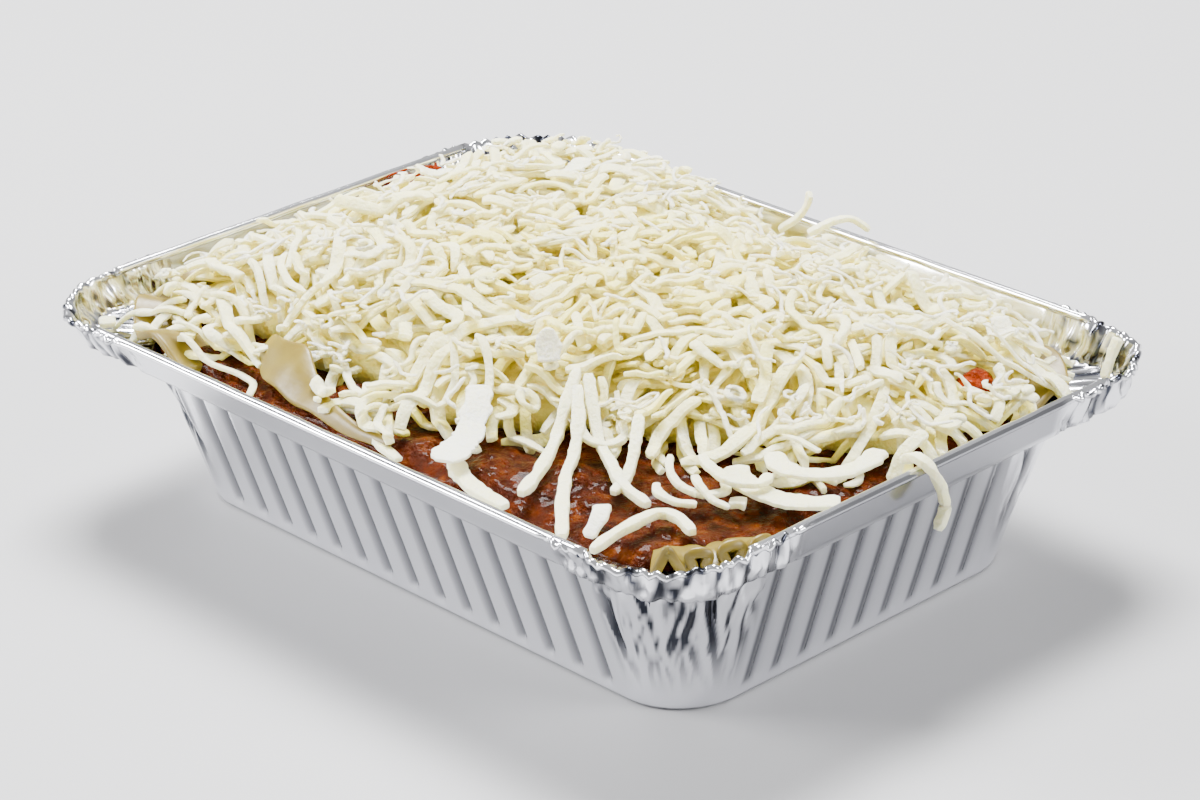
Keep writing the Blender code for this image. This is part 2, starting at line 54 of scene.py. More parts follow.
# %% [markdown]
# ## Camera, floor and light
# Food like this is pictured from a little above table height, with a long lens, one corner of the
# tray towards the viewer. The camera's turn is built from yaw, pitch and roll, so that each angle
# can be changed alone. A pale floor and three large soft lamps keep the shadows gentle; the world
# is dimmer than the lamps, because foil needs something dark to mirror.

# %% The camera
CAMERA_PLACE = (0.5434, -0.5013, 0.3709)
CAMERA_YAW, CAMERA_PITCH, CAMERA_ROLL = (math.radians(a) for a in (-47.19, 24.83, -1.81))
SENSOR = 36.0
LENS = 112.0
NEAREST = 0.01


def camera_axes(yaw, pitch, roll):
    """Right, down and forward: forward leans down by pitch and is turned by yaw, then all roll."""
    forward = np.array([math.sin(yaw) * math.cos(pitch), math.cos(yaw) * math.cos(pitch),
                        -math.sin(pitch)])
    right = np.array([math.cos(yaw), -math.sin(yaw), 0.0])
    down = np.cross(forward, right)
    return (math.cos(roll) * right - math.sin(roll) * down,
            math.sin(roll) * right + math.cos(roll) * down, forward)


def add_at(name, data, right, up, back, place):
    """An object in the scene whose X, Y and Z axes are these directions. It looks along -Z."""
    made = bpy.data.objects.new(name, data)
    turn = np.eye(4)
    turn[:3, 0], turn[:3, 1], turn[:3, 2], turn[:3, 3] = right, up, back, place
    made.matrix_world = Matrix(turn.tolist())
    bpy.context.scene.collection.objects.link(made)
    return made


def add_camera():
    """A camera whose X is right, Y is up and Z points back at the viewer."""
    data = bpy.data.cameras.new("table_camera")
    data.sensor_width, data.lens, data.clip_start = SENSOR, LENS, NEAREST
    right, down, forward = camera_axes(CAMERA_YAW, CAMERA_PITCH, CAMERA_ROLL)
    bpy.context.scene.camera = add_at("table_camera", data, right, -down, -forward, CAMERA_PLACE)


add_camera()
print("camera looks along", [round(v, 3) for v in camera_axes(CAMERA_YAW, CAMERA_PITCH, 0)[2]])


# %% Mesh helpers
def grid_faces(rows, columns, wrap=False):
    """Quads between neighbouring rows of a grid of points numbered row by row."""
    row = np.arange(rows - 1)[:, None] * columns
    this = np.arange(columns if wrap else columns - 1)[None, :]
    after = (this + 1) % columns
    corners = [row + this, row + after, row + columns + after, row + columns + this]
    return np.stack(corners, axis=-1).reshape(-1, 4)


def tube_faces(rows, count):
    """Quads of a tube built from equal rings, then its first and its last cap."""
    first = list(range(count))
    last = [n + (rows - 1) * count for n in first]
    return grid_faces(rows, count, wrap=True).tolist() + [first[::-1], last]


def put_mesh(name, points, faces, look=None):
    """A smooth-shaded object from an array of points and a list of faces."""
    mesh = bpy.data.meshes.new(name)
    mesh.from_pydata(np.asarray(points, float).tolist(), [], [list(f) for f in faces])
    mesh.shade_smooth()
    mesh.validate()
    made = bpy.data.objects.new(name, mesh)
    bpy.context.scene.collection.objects.link(made)
    if look:
        mesh.materials.append(look)
    return made


def set_value(piece, name, values):
    """Store one number at each point, for the piece's finish to read."""
    layer = piece.data.attributes.new(name, "FLOAT", "POINT")
    layer.data.foreach_set("value", np.asarray(values, np.float32).ravel())


def finish_piece(piece, slot, *nodes):
    """The piece rides on the tray's one body, and stands for these plain solids."""
    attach(piece, "root")
    if nodes:
        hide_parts(*nodes)
    print(f"{piece.name}: {len(piece.data.vertices)} points, {len(piece.data.polygons)} faces")
    return piece


def smoothstep(low, high, value):
    """0 below low, 1 above high, and an easy S between them."""
    t = np.clip((value - low) / (high - low), 0, 1)
    return t * t * (3 - 2 * t)


def unit(vectors):
    """Each vector scaled to length one."""
    return vectors / np.maximum(np.linalg.norm(vectors, axis=-1, keepdims=True), 1e-12)


# %% The floor
FLOOR_HALF = 3.0
FLOOR_GAP = 0.05 * MM


def add_floor():
    """A flat square just under the tray."""
    corners = np.array([[-1, -1, 0], [1, -1, 0], [1, 1, 0], [-1, 1, 0]]) * FLOOR_HALF
    corners[:, 2] = -FLOOR_GAP
    return put_mesh("floor", corners, [(0, 1, 2, 3)])


floor = add_floor()
print("floor is", 2 * FLOOR_HALF, "m wide")

# %% The lamps
LAMPS = {
    # name: place, aim, width, depth, watts
    "overhead": ((-0.35, 0.30, 1.05), (0.0, 0.0, 0.04), 0.5, 0.4, 54.0),
    "left_window": ((-0.85, -0.75, 0.60), (0.0, 0.0, 0.03), 0.6, 0.4, 30.0),
    "right_window": ((0.95, 0.35, 0.60), (0.0, 0.0, 0.03), 0.4, 0.4, 13.0),
}
WORLD_GREY = 0.5


def add_lamp(name, place, aim, width, depth, watts):
    """A rectangular soft lamp that faces its aim."""
    data = bpy.data.lights.new(name, "AREA")
    data.shape = "RECTANGLE"
    data.size, data.size_y, data.energy = width, depth, watts
    back = unit(np.array(place) - np.array(aim))
    right = unit(np.cross([0.0, 0.0, 1.0], back))
    add_at(name, data, right, np.cross(back, right), back, place)


for lamp_name, lamp_facts in LAMPS.items():
    add_lamp(lamp_name, *lamp_facts)
world = bpy.data.worlds.new("soft_room")
world.use_nodes = True
world.node_tree.nodes["Background"].inputs["Color"].default_value = (WORLD_GREY,) * 3 + (1,)
bpy.context.scene.world = world
print("lamps:", sorted(LAMPS))

# %% [markdown]
# ## Materials
# Every finish here has small uneven patches: cheese is creamier in places, sauce runs from
# orange to dark brown, foil is cloudy. One shader node group, mottle, makes such patches, and one
# function makes every finish from a table of its facts. What is constant over a surface stays on
# the shader's own sockets.


# %% Node helpers
def add_node(tree, kind, **settings):
    """A node with its properties set by name."""
    node = tree.nodes.new(kind)
    for key, value in settings.items():
        setattr(node, key, value)
    return node


def link(tree, source, target):
    """Join an output socket to an input socket."""
    tree.links.new(source, target)


def mottle_group():
    """Two sizes of cloud noise: Patch is broad and stretched round 0.5, and Grain is fine."""
    group = bpy.data.node_groups.new("mottle", "ShaderNodeTree")
    face = group.interface
    face.new_socket("Vector", in_out="INPUT", socket_type="NodeSocketVector")
    for name in ("Patch Scale", "Grain Scale", "Contrast"):
        face.new_socket(name, in_out="INPUT", socket_type="NodeSocketFloat")
    face.new_socket("Patch", in_out="OUTPUT", socket_type="NodeSocketFloat")
    face.new_socket("Grain", in_out="OUTPUT", socket_type="NodeSocketFloat")
    inward = add_node(group, "NodeGroupInput")
    outward = add_node(group, "NodeGroupOutput")
    broad = add_node(group, "ShaderNodeTexNoise")
    small = add_node(group, "ShaderNodeTexNoise")
    broad.inputs["Detail"].default_value = 3.0
    small.inputs["Detail"].default_value = 4.0
    for noise, scale in ((broad, "Patch Scale"), (small, "Grain Scale")):
        link(group, inward.outputs["Vector"], noise.inputs["Vector"])
        link(group, inward.outputs[scale], noise.inputs["Scale"])
    centred = add_node(group, "ShaderNodeMath", operation="SUBTRACT")
    centred.inputs[1].default_value = 0.5
    stretched = add_node(group, "ShaderNodeMath", operation="MULTIPLY_ADD", use_clamp=True)
    stretched.inputs[2].default_value = 0.5
    link(group, broad.outputs["Fac"], centred.inputs[0])
    link(group, centred.outputs[0], stretched.inputs[0])
    link(group, inward.outputs["Contrast"], stretched.inputs[1])
    link(group, stretched.outputs[0], outward.inputs["Patch"])
    link(group, small.outputs["Fac"], outward.inputs["Grain"])
    return group


MOTTLE = mottle_group()


def colour_ramp(tree, source, stops):
    """A ramp whose stops are (place, colour), read by the source socket."""
    ramp = add_node(tree, "ShaderNodeValToRGB")
    ramp.color_ramp.elements[0].position = stops[0][0]
    ramp.color_ramp.elements[0].color = (*stops[0][1], 1)
    ramp.color_ramp.elements[1].position = stops[-1][0]
    ramp.color_ramp.elements[1].color = (*stops[-1][1], 1)
    for place, colour in stops[1:-1]:
        ramp.color_ramp.elements.new(place).color = (*colour, 1)
    link(tree, source, ramp.inputs["Fac"])
    return ramp.outputs["Color"]


def blend_by_point(tree, name, low, high):
    """The socket low where the named point value is 0, and the plain colour high where it is 1."""
    share = add_node(tree, "ShaderNodeAttribute", attribute_name=name)
    mix = add_node(tree, "ShaderNodeMix", data_type="RGBA")
    link(tree, share.outputs["Fac"], mix.inputs[0])
    link(tree, low, mix.inputs[6])
    mix.inputs[7].default_value = (*high, 1)
    return mix.outputs[2]


def span(tree, source, low, high):
    """A value that runs from low to high as the source runs from 0 to 1."""
    node = add_node(tree, "ShaderNodeMapRange")
    node.inputs["To Min"].default_value, node.inputs["To Max"].default_value = low, high
    link(tree, source, node.inputs["Value"])
    return node.outputs["Result"]


def make_finish(name, mottle_sizes, bump, stops, gloss=None, by_point=None, **sockets):
    """A Principled material with mottled colour, a fine bump and a gloss that drifts.

    mottle_sizes are the group's patch scale, grain scale and contrast. bump is a strength and a
    height. stops are (place, colour) over the patches. gloss is the mottle output that drives the
    roughness, and its ends. by_point is a point value, and the colour where that value is 1. The
    rest are the shader's own sockets, in whose names an underscore stands for a space.
    """
    made = bpy.data.materials.new(name)
    made.use_nodes = True
    tree = made.node_tree
    shader = tree.nodes["Principled BSDF"]
    place = add_node(tree, "ShaderNodeTexCoord")
    mottle = add_node(tree, "ShaderNodeGroup", node_tree=MOTTLE)
    for socket, value in zip(("Patch Scale", "Grain Scale", "Contrast"), mottle_sizes):
        mottle.inputs[socket].default_value = value
    link(tree, place.outputs["Object"], mottle.inputs["Vector"])
    relief = add_node(tree, "ShaderNodeBump")
    relief.inputs["Strength"].default_value, relief.inputs["Distance"].default_value = bump
    link(tree, mottle.outputs["Grain"], relief.inputs["Height"])
    link(tree, relief.outputs["Normal"], shader.inputs["Normal"])
    tint = colour_ramp(tree, mottle.outputs["Patch"], stops)
    if by_point:
        tint = blend_by_point(tree, by_point[0], tint, by_point[1])
    link(tree, tint, shader.inputs["Base Color"])
    if gloss:
        link(tree, span(tree, mottle.outputs[gloss[0]], *gloss[1:]), shader.inputs["Roughness"])
    for socket, value in sockets.items():
        shader.inputs[socket.replace("_", " ")].default_value = value
    return made


print("shader group:", MOTTLE.name)

# %% Floor finish
# pale matt card with the faintest clouding
CARD_LOOK = make_finish("pale_card", (3.0, 400.0, 1.0), (0.02, 0.2 * MM),
                        [(0, (0.44, 0.44, 0.45)), (1, (0.47, 0.47, 0.48))], Roughness=0.55)
floor.data.materials.append(CARD_LOOK)

# %% Foil finish
# bare bright metal, much darker where a point value of painted shade and painted reflection is 1
FOIL_LOOK = make_finish("rolled_foil", (45.0, 900.0, 1.6), (0.08, 0.15 * MM),
                        [(0, (0.88, 0.885, 0.94)), (0.5, (0.93, 0.935, 0.985)), (1, (0.96, 0.965, 1.0))],
                        ("Patch", 0.10, 0.20), ("painted_foil_shade", (0.035, 0.038, 0.052)), Metallic=1.0)


# %% Cheese finish
def cheese_finish(name, dull, light, deep):
    """Milky cheese: dull to light cream in patches, and deep yellow where a point value is 1, which holds
    painted depth shade inside the heap and the shreds' own tone.
    """
    return make_finish(name, (220.0, 1000.0, 1.6), (0.8, 0.8 * MM), [(0, dull), (1, light)],
                       ("Grain", 0.47, 0.65), ("depth_shade_and_tone", deep), Subsurface_Weight=0.6,
                       Subsurface_Radius=(1.0, 0.85, 0.45), Subsurface_Scale=3.0 * MM)


CHEESE_LOOK = cheese_finish("shredded_cheese", (0.96, 0.89, 0.50), (0.97, 0.93, 0.64), (0.99, 0.84, 0.17))
WISP_LOOK = cheese_finish("thin_cheese", (0.96, 0.92, 0.64), (0.98, 0.95, 0.76), (0.98, 0.86, 0.30))


# %% Sauce finish
def sauce_finish(name, *stops):
    """Glossy meat sauce: dark red-brown patches and orange ones, with small wet glints.

    Its reflections are weak and tinted, because white ones would turn the dark sauce pink.
    """
    return make_finish(name, (280.0, 900.0, 2.0), (1.0, 1.6 * MM), stops, ("Grain", 0.12, 0.32),
                       Specular_IOR_Level=0.1, Specular_Tint=(1.0, 0.42, 0.2, 1),
                       Coat_Weight=0.06, Coat_Roughness=0.05)


SAUCE_LOOK = sauce_finish("meat_sauce",
                          (0.1, (0.017, 0.0017, 0.0001)), (0.4, (0.038, 0.0040, 0.0001)),
                          (0.68, (0.070, 0.0095, 0.0002)), (0.95, (0.13, 0.028, 0.0005)))
TOMATO_LOOK = sauce_finish("tomato_in_sauce", (0.1, (0.13, 0.009, 0.001)), (0.9, (0.30, 0.035, 0.003)))

# %% Pasta finish
# cooked pasta: straw yellow, a little see-through, with a soft wet shine
PASTA_LOOK = make_finish("cooked_pasta", (120.0, 900.0, 1.5), (0.15, 0.3 * MM),
                         [(0, (0.13, 0.088, 0.003)), (0.5, (0.185, 0.13, 0.007)), (1, (0.27, 0.20, 0.018))],
                         ("Grain", 0.3, 0.5), Subsurface_Weight=0.3,
                         Subsurface_Radius=(1.0, 0.7, 0.3), Subsurface_Scale=2.0 * MM)
print("food and foil finishes are ready")

# %% [markdown]
# ## The foil tray
# One sheet of foil is pressed over a former: a flat base, sloping ribbed walls, a narrow ledge and
# an upright rim with a rolled edge. It could be sculpted, but a pressed sheet is a clean function
# of two values: how far round the tray, and how far up its profile. At the four corners the sheet
# has nowhere to go, so it crumples into folds, which a faceted noise gives.

# %% Tray sizes
TRAY_LOW, TRAY_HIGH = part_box("foil_tray")
BASE_HALF = np.array([79.05, 52.05]) * MM
BASE_RADIUS = 15.2 * MM
WALL_HALF = np.array([91.8, 64.7]) * MM
WALL_RADIUS = 28.3 * MM
WALL_TOP = 38.2 * MM
LEDGE = 6.1 * MM
LEDGE_RADIUS = 15.6 * MM
RIM_TOP = 47.05 * MM
FLARE_X = {1: 2.2 * MM, -1: 2.9 * MM}
FLARE_Y = {1: 3.95 * MM, -1: 4.45 * MM}
NO_FLARE = {1: 0.0, -1: 0.0}
RIM_HALF_RUN = np.array([77.7, 52.7]) * MM
PIVOT = np.array([63.5, 36.4]) * MM
FOIL = 0.3 * MM
CORNERS = ((1, -1), (1, 1), (-1, 1), (-1, -1))
LONG_RIBS, SHORT_RIBS = 15, 9
RIB_WIDTH = 2.3 * MM
RIB_DEPTH = 1.1 * MM
RIB_FOOT, RIB_HEAD = 2.4 * MM, 38.1 * MM
RIB_STEPS = 8
CORNER_STEPS = 128
print("tray box, mm:", [round(v / MM, 1) for v in (TRAY_HIGH - TRAY_LOW)])


# %% Round the tray
def corner_reach(width, depth, radius, angle):
    """Distance from a pivot to a rounded corner: to the flat sides, or to the arc between them."""
    across, along = np.cos(angle), np.sin(angle)
    centre_x, centre_y = width - radius, depth - radius
    flat_x = width / np.maximum(across, 1e-9)
    flat_y = depth / np.maximum(along, 1e-9)
    middle = across * centre_x + along * centre_y
    arc = middle + np.sqrt(np.maximum(middle**2 - centre_x**2 - centre_y**2 + radius**2, 0))
    reach = np.where(flat_x * along <= centre_y, flat_x, arc)
    return np.where(flat_y * across <= centre_x, flat_y, reach)


LONG_RUN = np.linspace(-PIVOT[0], PIVOT[0], LONG_RIBS * RIB_STEPS + 1)
SHORT_RUN = np.linspace(-PIVOT[1], PIVOT[1], SHORT_RIBS * RIB_STEPS + 1)
TURN = np.linspace(0, math.pi / 2, CORNER_STEPS + 1)[1:-1]


def around():
    """Anticlockwise round the tray: each corner's signs, with the straight side that comes before it.

    Gives the number n, the signs, the run along the side, its ribs and the angles of the corner.
    Sides of even n run along X, and the corner's angles are measured from X.
    """
    for n, (to_x, to_y) in enumerate(CORNERS):
        if n % 2 == 0:
            yield n, to_x, to_y, LONG_RUN, LONG_RIBS, math.pi / 2 - TURN
        else:
            yield n, to_x, to_y, SHORT_RUN, SHORT_RIBS, TURN


def level(half, radius, flare_x=NO_FLARE, flare_y=NO_FLARE):
    """The plan of the tray at one height: four straight sides, each with the corner after it."""
    parts = []
    for n, to_x, to_y, run, _, angle in around():
        out_x, out_y = half[0] + flare_x[to_x], half[1] + flare_y[to_y]
        if n % 2 == 0:
            parts.append(np.stack([run * to_x, np.full_like(run, to_y * out_y)], axis=1))
        else:
            parts.append(np.stack([np.full_like(run, to_x * out_x), run * to_y], axis=1))
        width, depth = out_x - PIVOT[0], out_y - PIVOT[1]
        reach = corner_reach(width, depth, min(radius, width, depth), angle)
        parts.append(np.stack([to_x * (PIVOT[0] + reach * np.cos(angle)),
                               to_y * (PIVOT[1] + reach * np.sin(angle))], axis=1))
    return np.concatenate(parts)


def stations():
    """At each point round the tray: the outward direction, the share of a rib's depth, how much
    painted shade it gets on one flank of a rib (short sides only), and its turn into a corner, or -1."""
    out, rib, flank_shades, turn = [], [], [], []
    for n, to_x, to_y, run, ribs, angle in around():
        straight = (0.0, to_y) if n % 2 == 0 else (to_x, 0.0)
        out += [np.tile(straight, (len(run), 1)),
                np.stack([to_x * np.cos(angle), to_y * np.sin(angle)], axis=1)]
        pitch = (run[-1] - run[0]) / ribs
        along = run - run[0]
        off = np.abs(along % pitch - pitch / 2)
        rib += [0.5 + 0.5 * np.cos(np.pi * np.clip(off / RIB_WIDTH, 0, 1)), np.zeros(len(TURN))]
        # painted shade on one flank of each rib, used on the short sides only
        flank = smoothstep(-0.3, 0.7, np.cos(2 * np.pi * (along / pitch - 0.28)))
        flank_shades += [flank * (n % 2), np.zeros(len(TURN))]
        turn += [np.full(len(run), -1.0), TURN + n * math.pi / 2]
    return tuple(np.concatenate(part) for part in (out, rib, flank_shades, turn))


OUT, RIB, PAINTED_FLANK_SHADE, CORNER_TURN = stations()
IN_CORNER = CORNER_TURN >= 0
print("points round the tray:", len(OUT))


# %% Crumpled corners
def lattice(u, v, seed, smooth=False):
    """Random heights 0 to 1 at whole numbers, joined by straight slopes that meet in sharp creases,
    or by easy curves."""
    table = np.random.default_rng(seed).random((128, 128))
    iu, iv = np.floor(u).astype(int), np.floor(v).astype(int)
    fu, fv = u - iu, v - iv
    if smooth:
        fu, fv = fu * fu * (3 - 2 * fu), fv * fv * (3 - 2 * fv)
    low = table[iu % 128, iv % 128] * (1 - fu) + table[(iu + 1) % 128, iv % 128] * fu
    high = table[iu % 128, (iv + 1) % 128] * (1 - fu) + table[(iu + 1) % 128, (iv + 1) % 128] * fu
    return low * (1 - fv) + high * fv


FOLDS_PER_RADIAN = 8.0
FOLD_DEPTH = 3.0 * MM
FOLD_HEIGHT = 11 * MM
TURN_SO_FAR = np.maximum(CORNER_TURN, 0)


def crumple(z):
    """Folds that fan out from the base: three sizes of facets over the turn and the height."""
    across = TURN_SO_FAR * FOLDS_PER_RADIAN
    up = z / FOLD_HEIGHT
    across = across + 0.9 * lattice(across * 0.45 + 3, up * 0.8, 11, True)
    up = up + 0.8 * lattice(across * 0.8, up, 12, True)
    folds = lattice(across, up * 0.7, 13) - 0.5
    folds += 0.7 * (lattice(across * 1.9 + up, up * 1.5 + 5, 14) - 0.5)
    folds += 0.35 * (lattice(across * 3.7 - up, up * 3.1 + 9, 15) - 0.5)
    return folds


def into_corner():
    """0 at both ends of a corner and 1 over its middle."""
    part = (CORNER_TURN % (math.pi / 2)) / (math.pi / 2)
    return np.where(IN_CORNER, smoothstep(0.0, 0.12, part) * smoothstep(1.0, 0.88, part), 0.0)


CORNER_WEIGHT = into_corner()
PLEATS_PER_RADIAN = 14.0
CRUSHES_PER_RADIAN = 16.0


def pleats(shift):
    """Fine crimps of the rim's corners, -1 to 1: a zigzag of uneven pitch and depth."""
    across = TURN_SO_FAR * PLEATS_PER_RADIAN
    across = across + 0.9 * lattice(across * 0.61, across * 0 + shift, 21, True)
    zigzag = 4 * np.abs(across % 1.0 - 0.5) - 1
    depth = 0.3 + 0.7 * lattice(across * 0.9, across * 0 + shift, 22)
    return zigzag * depth * CORNER_WEIGHT


def rim_crush(part, shift):
    """Small facets in the upright rim's corners, about -0.5 to 0.5."""
    across = TURN_SO_FAR * CRUSHES_PER_RADIAN
    across = across + 0.8 * lattice(across * 0.5 + 5, across * 0 + 2.2 * part + shift, 24, True)
    facets = lattice(across, across * 0 + 2.6 * part + shift, 25) - 0.5
    facets += 0.6 * (lattice(across * 2.1, across * 0 + 4.5 * part + shift, 26) - 0.5)
    return facets * CORNER_WEIGHT


print("corner points:", int(IN_CORNER.sum()))


# %% The pressed sheet
CRIMP = 0.35 * MM               # how far a pleat moves the rim in or out
CRUSH = 1.9 * MM
RIM_DROP = 0.85 * MM            # how much lower the rim is in the middle of a corner
RIM_NOTCH = 0.7 * MM


def rib_ramp(z):
    """1 on the height that the ribs take up, easing to 0 below and above it."""
    return smoothstep(RIB_FOOT, 4.6 * MM, z) * smoothstep(RIB_HEAD, 36.2 * MM, z)


def wall_size(z):
    """Half sizes and corner radius of the sloping wall at height z."""
    part = z / WALL_TOP
    return BASE_HALF + (WALL_HALF - BASE_HALF) * part, BASE_RADIUS + (WALL_RADIUS - BASE_RADIUS) * part


def wall_ring(z):
    """One ring of the sloping wall, pressed in at its ribs and crumpled at its corners."""
    plan = level(*wall_size(z))
    height = np.full(len(OUT), z)
    rise = smoothstep(0.5 * MM, 26 * MM, z) * (0.25 + 0.75 * z / WALL_TOP)
    push = -RIB_DEPTH * RIB * rib_ramp(z) + FOLD_DEPTH * rise * (crumple(height) * CORNER_WEIGHT)
    return np.column_stack([plan + OUT * push[:, None], height])


def rim_ring(part):
    """One ring of the upright rim: 0 at the ledge, 1 at its top; crimped where it turns."""
    flare_x = {side: part * size for side, size in FLARE_X.items()}
    flare_y = {side: part * size for side, size in FLARE_Y.items()}
    plan = level(WALL_HALF + LEDGE, LEDGE_RADIUS + part * FLARE_Y[-1], flare_x, flare_y)
    crimp = pleats(1.5 + 0.6 * part) * CRIMP + rim_crush(part, 3.0) * CRUSH
    height = WALL_TOP + part * (RIM_TOP - WALL_TOP)
    drop = part * (RIM_DROP * np.sin(2 * TURN_SO_FAR) ** 2 + RIM_NOTCH * pleats(8.5))
    return np.column_stack([plan + OUT * crimp[:, None], height - drop * CORNER_WEIGHT])


def ledge_ring(part):
    """One ring of the ledge between the wall's top (0) and the rim's foot (1)."""
    inner, outer = wall_ring(WALL_TOP), rim_ring(0.0)
    ring = inner * (1 - part) + outer * part
    ring[:, 2] += math.sin(math.pi * part) * (0.7 * MM * pleats(1.5) + 0.35 * MM * pleats(6.5))
    return ring


def painted_foil_shade_of(ring):
    """Painted shade and painted reflection on the foil, 0 to 1: darker on the floors and flanks of ribs,
    on the rim of the short sides, and in the valleys and on one side of the folds, where foil mirrors a
    dark room."""
    z = ring[:, 2]
    ribs = RIB * rib_ramp(z)
    fold = crumple(z)
    # painted shade and painted reflection on one side of each corner fold and in its valleys
    slope = (np.roll(fold, 2) - np.roll(fold, -2)) * 4.5
    valley = smoothstep(0.0, -0.4, fold)
    rise = smoothstep(3 * MM, 20 * MM, z)
    part = np.clip((z - WALL_TOP) / (RIM_TOP - WALL_TOP), 0, 1)
    crush = rim_crush(0.0, 3.0 + 2.6 * float(part.mean()))
    tilt = (np.roll(crush, 1) - np.roll(crush, -1)) * 3.0
    # painted shade and painted reflection on the facets of the crimped rim corners
    crimped = CORNER_WEIGHT * smoothstep(37.5 * MM, 38.5 * MM, z)
    crimped = crimped * np.clip(tilt + 1.1 * smoothstep(0.0, -0.35, crush), 0, 1)
    folded = CORNER_WEIGHT * rise * np.clip(1.5 * np.maximum(slope, 0) + 0.9 * valley, 0, 1)
    # painted shade on the upright rim, stronger on the short sides, and on one flank of the short sides'
    # ribs
    end_side = np.abs(OUT[:, 0]) * (1 - CORNER_WEIGHT)
    rim_shade = (0.1 + 0.55 * end_side) * (1 - CORNER_WEIGHT) * smoothstep(38.5 * MM, 39.5 * MM, z)
    flank = 0.88 * PAINTED_FLANK_SHADE * smoothstep(RIB_FOOT, 5 * MM, z) * (z < RIB_HEAD)
    ribs = (0.85 - 0.6 * end_side) * ribs + flank
    return np.clip(ribs + rim_shade + np.where(z < RIB_HEAD, folded, crimped), 0, 1)


LIP_RADIUS = 0.45 * MM


def make_tray():
    """Rings from the middle of the base to the rolled lip, skinned and given foil thickness."""
    base = level(BASE_HALF, BASE_RADIUS)
    rings = [np.column_stack([base * part, np.full(len(base), z * MM)])
             for part, z in ((0.55, 0.25), (0.93, 0.25), (0.962, 0.0), (0.985, 0.05))]
    rings[0][:, 2] += 0.1 * MM
    rings += [wall_ring(z * MM) for z in (0.5, 1.2, 2.1)]
    rings += [wall_ring(z) for z in np.linspace(3.0 * MM, 37.0 * MM, 25)]
    rings += [wall_ring(37.7 * MM)]
    rings += [ledge_ring(part) for part in (0.0, 0.25, 0.5, 0.75, 0.93)]
    rings += [rim_ring(part) for part in (0.04, 0.2, 0.4, 0.6, 0.8, 0.93)]
    top = rim_ring(1.0)
    for angle in np.radians([150, 90, 40, -10, -60]):
        lip = top.copy()
        lip[:, :2] += OUT * (LIP_RADIUS * (1 + math.cos(angle)))
        lip[:, 2] += LIP_RADIUS * (math.sin(angle) - 0.6)
        rings.append(lip)
    open_top = tube_faces(len(rings), len(base))[:-1]
    tray = put_mesh("foil_tray_skin", np.concatenate(rings), open_top, FOIL_LOOK)
    # painted shade and painted reflection, one value at each point, for the foil's colour
    set_value(tray, "painted_foil_shade", np.stack([painted_foil_shade_of(ring) for ring in rings]))
    shell = tray.modifiers.new("foil", "SOLIDIFY")
    shell.thickness = FOIL
    shell.offset = -1
    return finish_piece(tray, "foil", "foil_tray")


make_tray()

# %% [markdown]
# ## The rolled edge
# Along each straight side the foil is rolled into a bead that stiffens the rim. It is cut off
# square just before the corners. A tube carried along a straight line is enough: its section is
# an oval with a shallow crease along its outer side, where the sheet meets itself.

# %% Make the beads
BEAD_RADIUS = 0.95 * MM
BEAD_POINTS = 14
BEAD_STEPS = 60


def bead_section():
    """An oval, a little higher than wide, whose outer side has a crease: r = R (1 - c exp(-(a/w)^2))."""
    angle = np.linspace(0, 2 * math.pi, BEAD_POINTS, endpoint=False)
    off = np.abs(np.angle(np.exp(1j * (angle - math.radians(20)))))
    radius = BEAD_RADIUS * (1 - 0.22 * np.exp(-(off / 0.35) ** 2))
    return np.stack([radius * np.cos(angle), 1.1 * radius * np.sin(angle)], axis=1)


def make_bead(name, axis, side):
    """The section carried along one straight rim, which wavers by a tenth of a millimetre."""
    run = np.linspace(-RIM_HALF_RUN[axis], RIM_HALF_RUN[axis], BEAD_STEPS)
    flare = (FLARE_Y if axis == 0 else FLARE_X)[side]
    place = side * (WALL_HALF[1 - axis] + LEDGE + flare - FOIL / 2)
    waver = 0.12 * MM * (2 * lattice(run / (9 * MM) + 40, run * 0 + 2 + side, 31, True) - 1)
    section = bead_section()
    points = np.zeros((BEAD_STEPS, BEAD_POINTS, 3))
    points[..., axis] = run[:, None]
    points[..., 1 - axis] = place + waver[:, None] + side * section[None, :, 0]
    points[..., 2] = RIM_TOP - 0.3 * MM + section[None, :, 1]
    mirrored = (side > 0) == (axis == 0)
    faces = [face[::-1] if mirrored else face for face in tube_faces(BEAD_STEPS, BEAD_POINTS)]
    return finish_piece(put_mesh(name, points.reshape(-1, 3), faces, FOIL_LOOK), "foil")


for bead_name, bead_axis, bead_side in (("front", 0, -1), ("back", 0, 1), ("right", 1, 1), ("left", 1, -1)):
    make_bead(f"rolled_edge_{bead_name}", bead_axis, bead_side)

# %% [markdown]
# ## The meat sauce
# The sauce fills the tray to its ledge. Its top is a height over a flat grid: the long swells of
# the plain solid, and then crumbs of meat as rounded pebbles of three sizes. A pebble is a dome
# round the nearest of many scattered points, the same idea as a Voronoi texture, but as real
# shape, so that its edges catch the light.

# %% Heights of sauce and heap
SAUCE_LEVEL = 39.9 * MM
SAUCE_EDGE = 37.4 * MM
SAUCE_LUMP = (38 * MM, -47 * MM, 9 * MM, 2.0 * MM)
HEAP_CENTRE = np.array([-4.0, 10.0]) * MM
HEAP_FOOT = 41.6 * MM
HEAP_RISE = 16.5 * MM
HEAP_SLOPE_RUN = 9.0 * MM
HEAP_HALF = np.array([90.0, 66.5]) * MM
HEAP_CORNER = 28.0 * MM
HEAP_SIDE_Y = -50.0 * MM
CUT_FROM = np.array([10.0, -50.0]) * MM
CUT_TO = np.array([92.0, 2.0]) * MM
CUT_BACK = 2.5 * MM


def mound(x, y, middle_x, middle_y, spread, height):
    """A round mound: h exp(-r^2 / s^2)."""
    return height * np.exp(-((x - middle_x)**2 + (y - middle_y)**2) / spread**2)


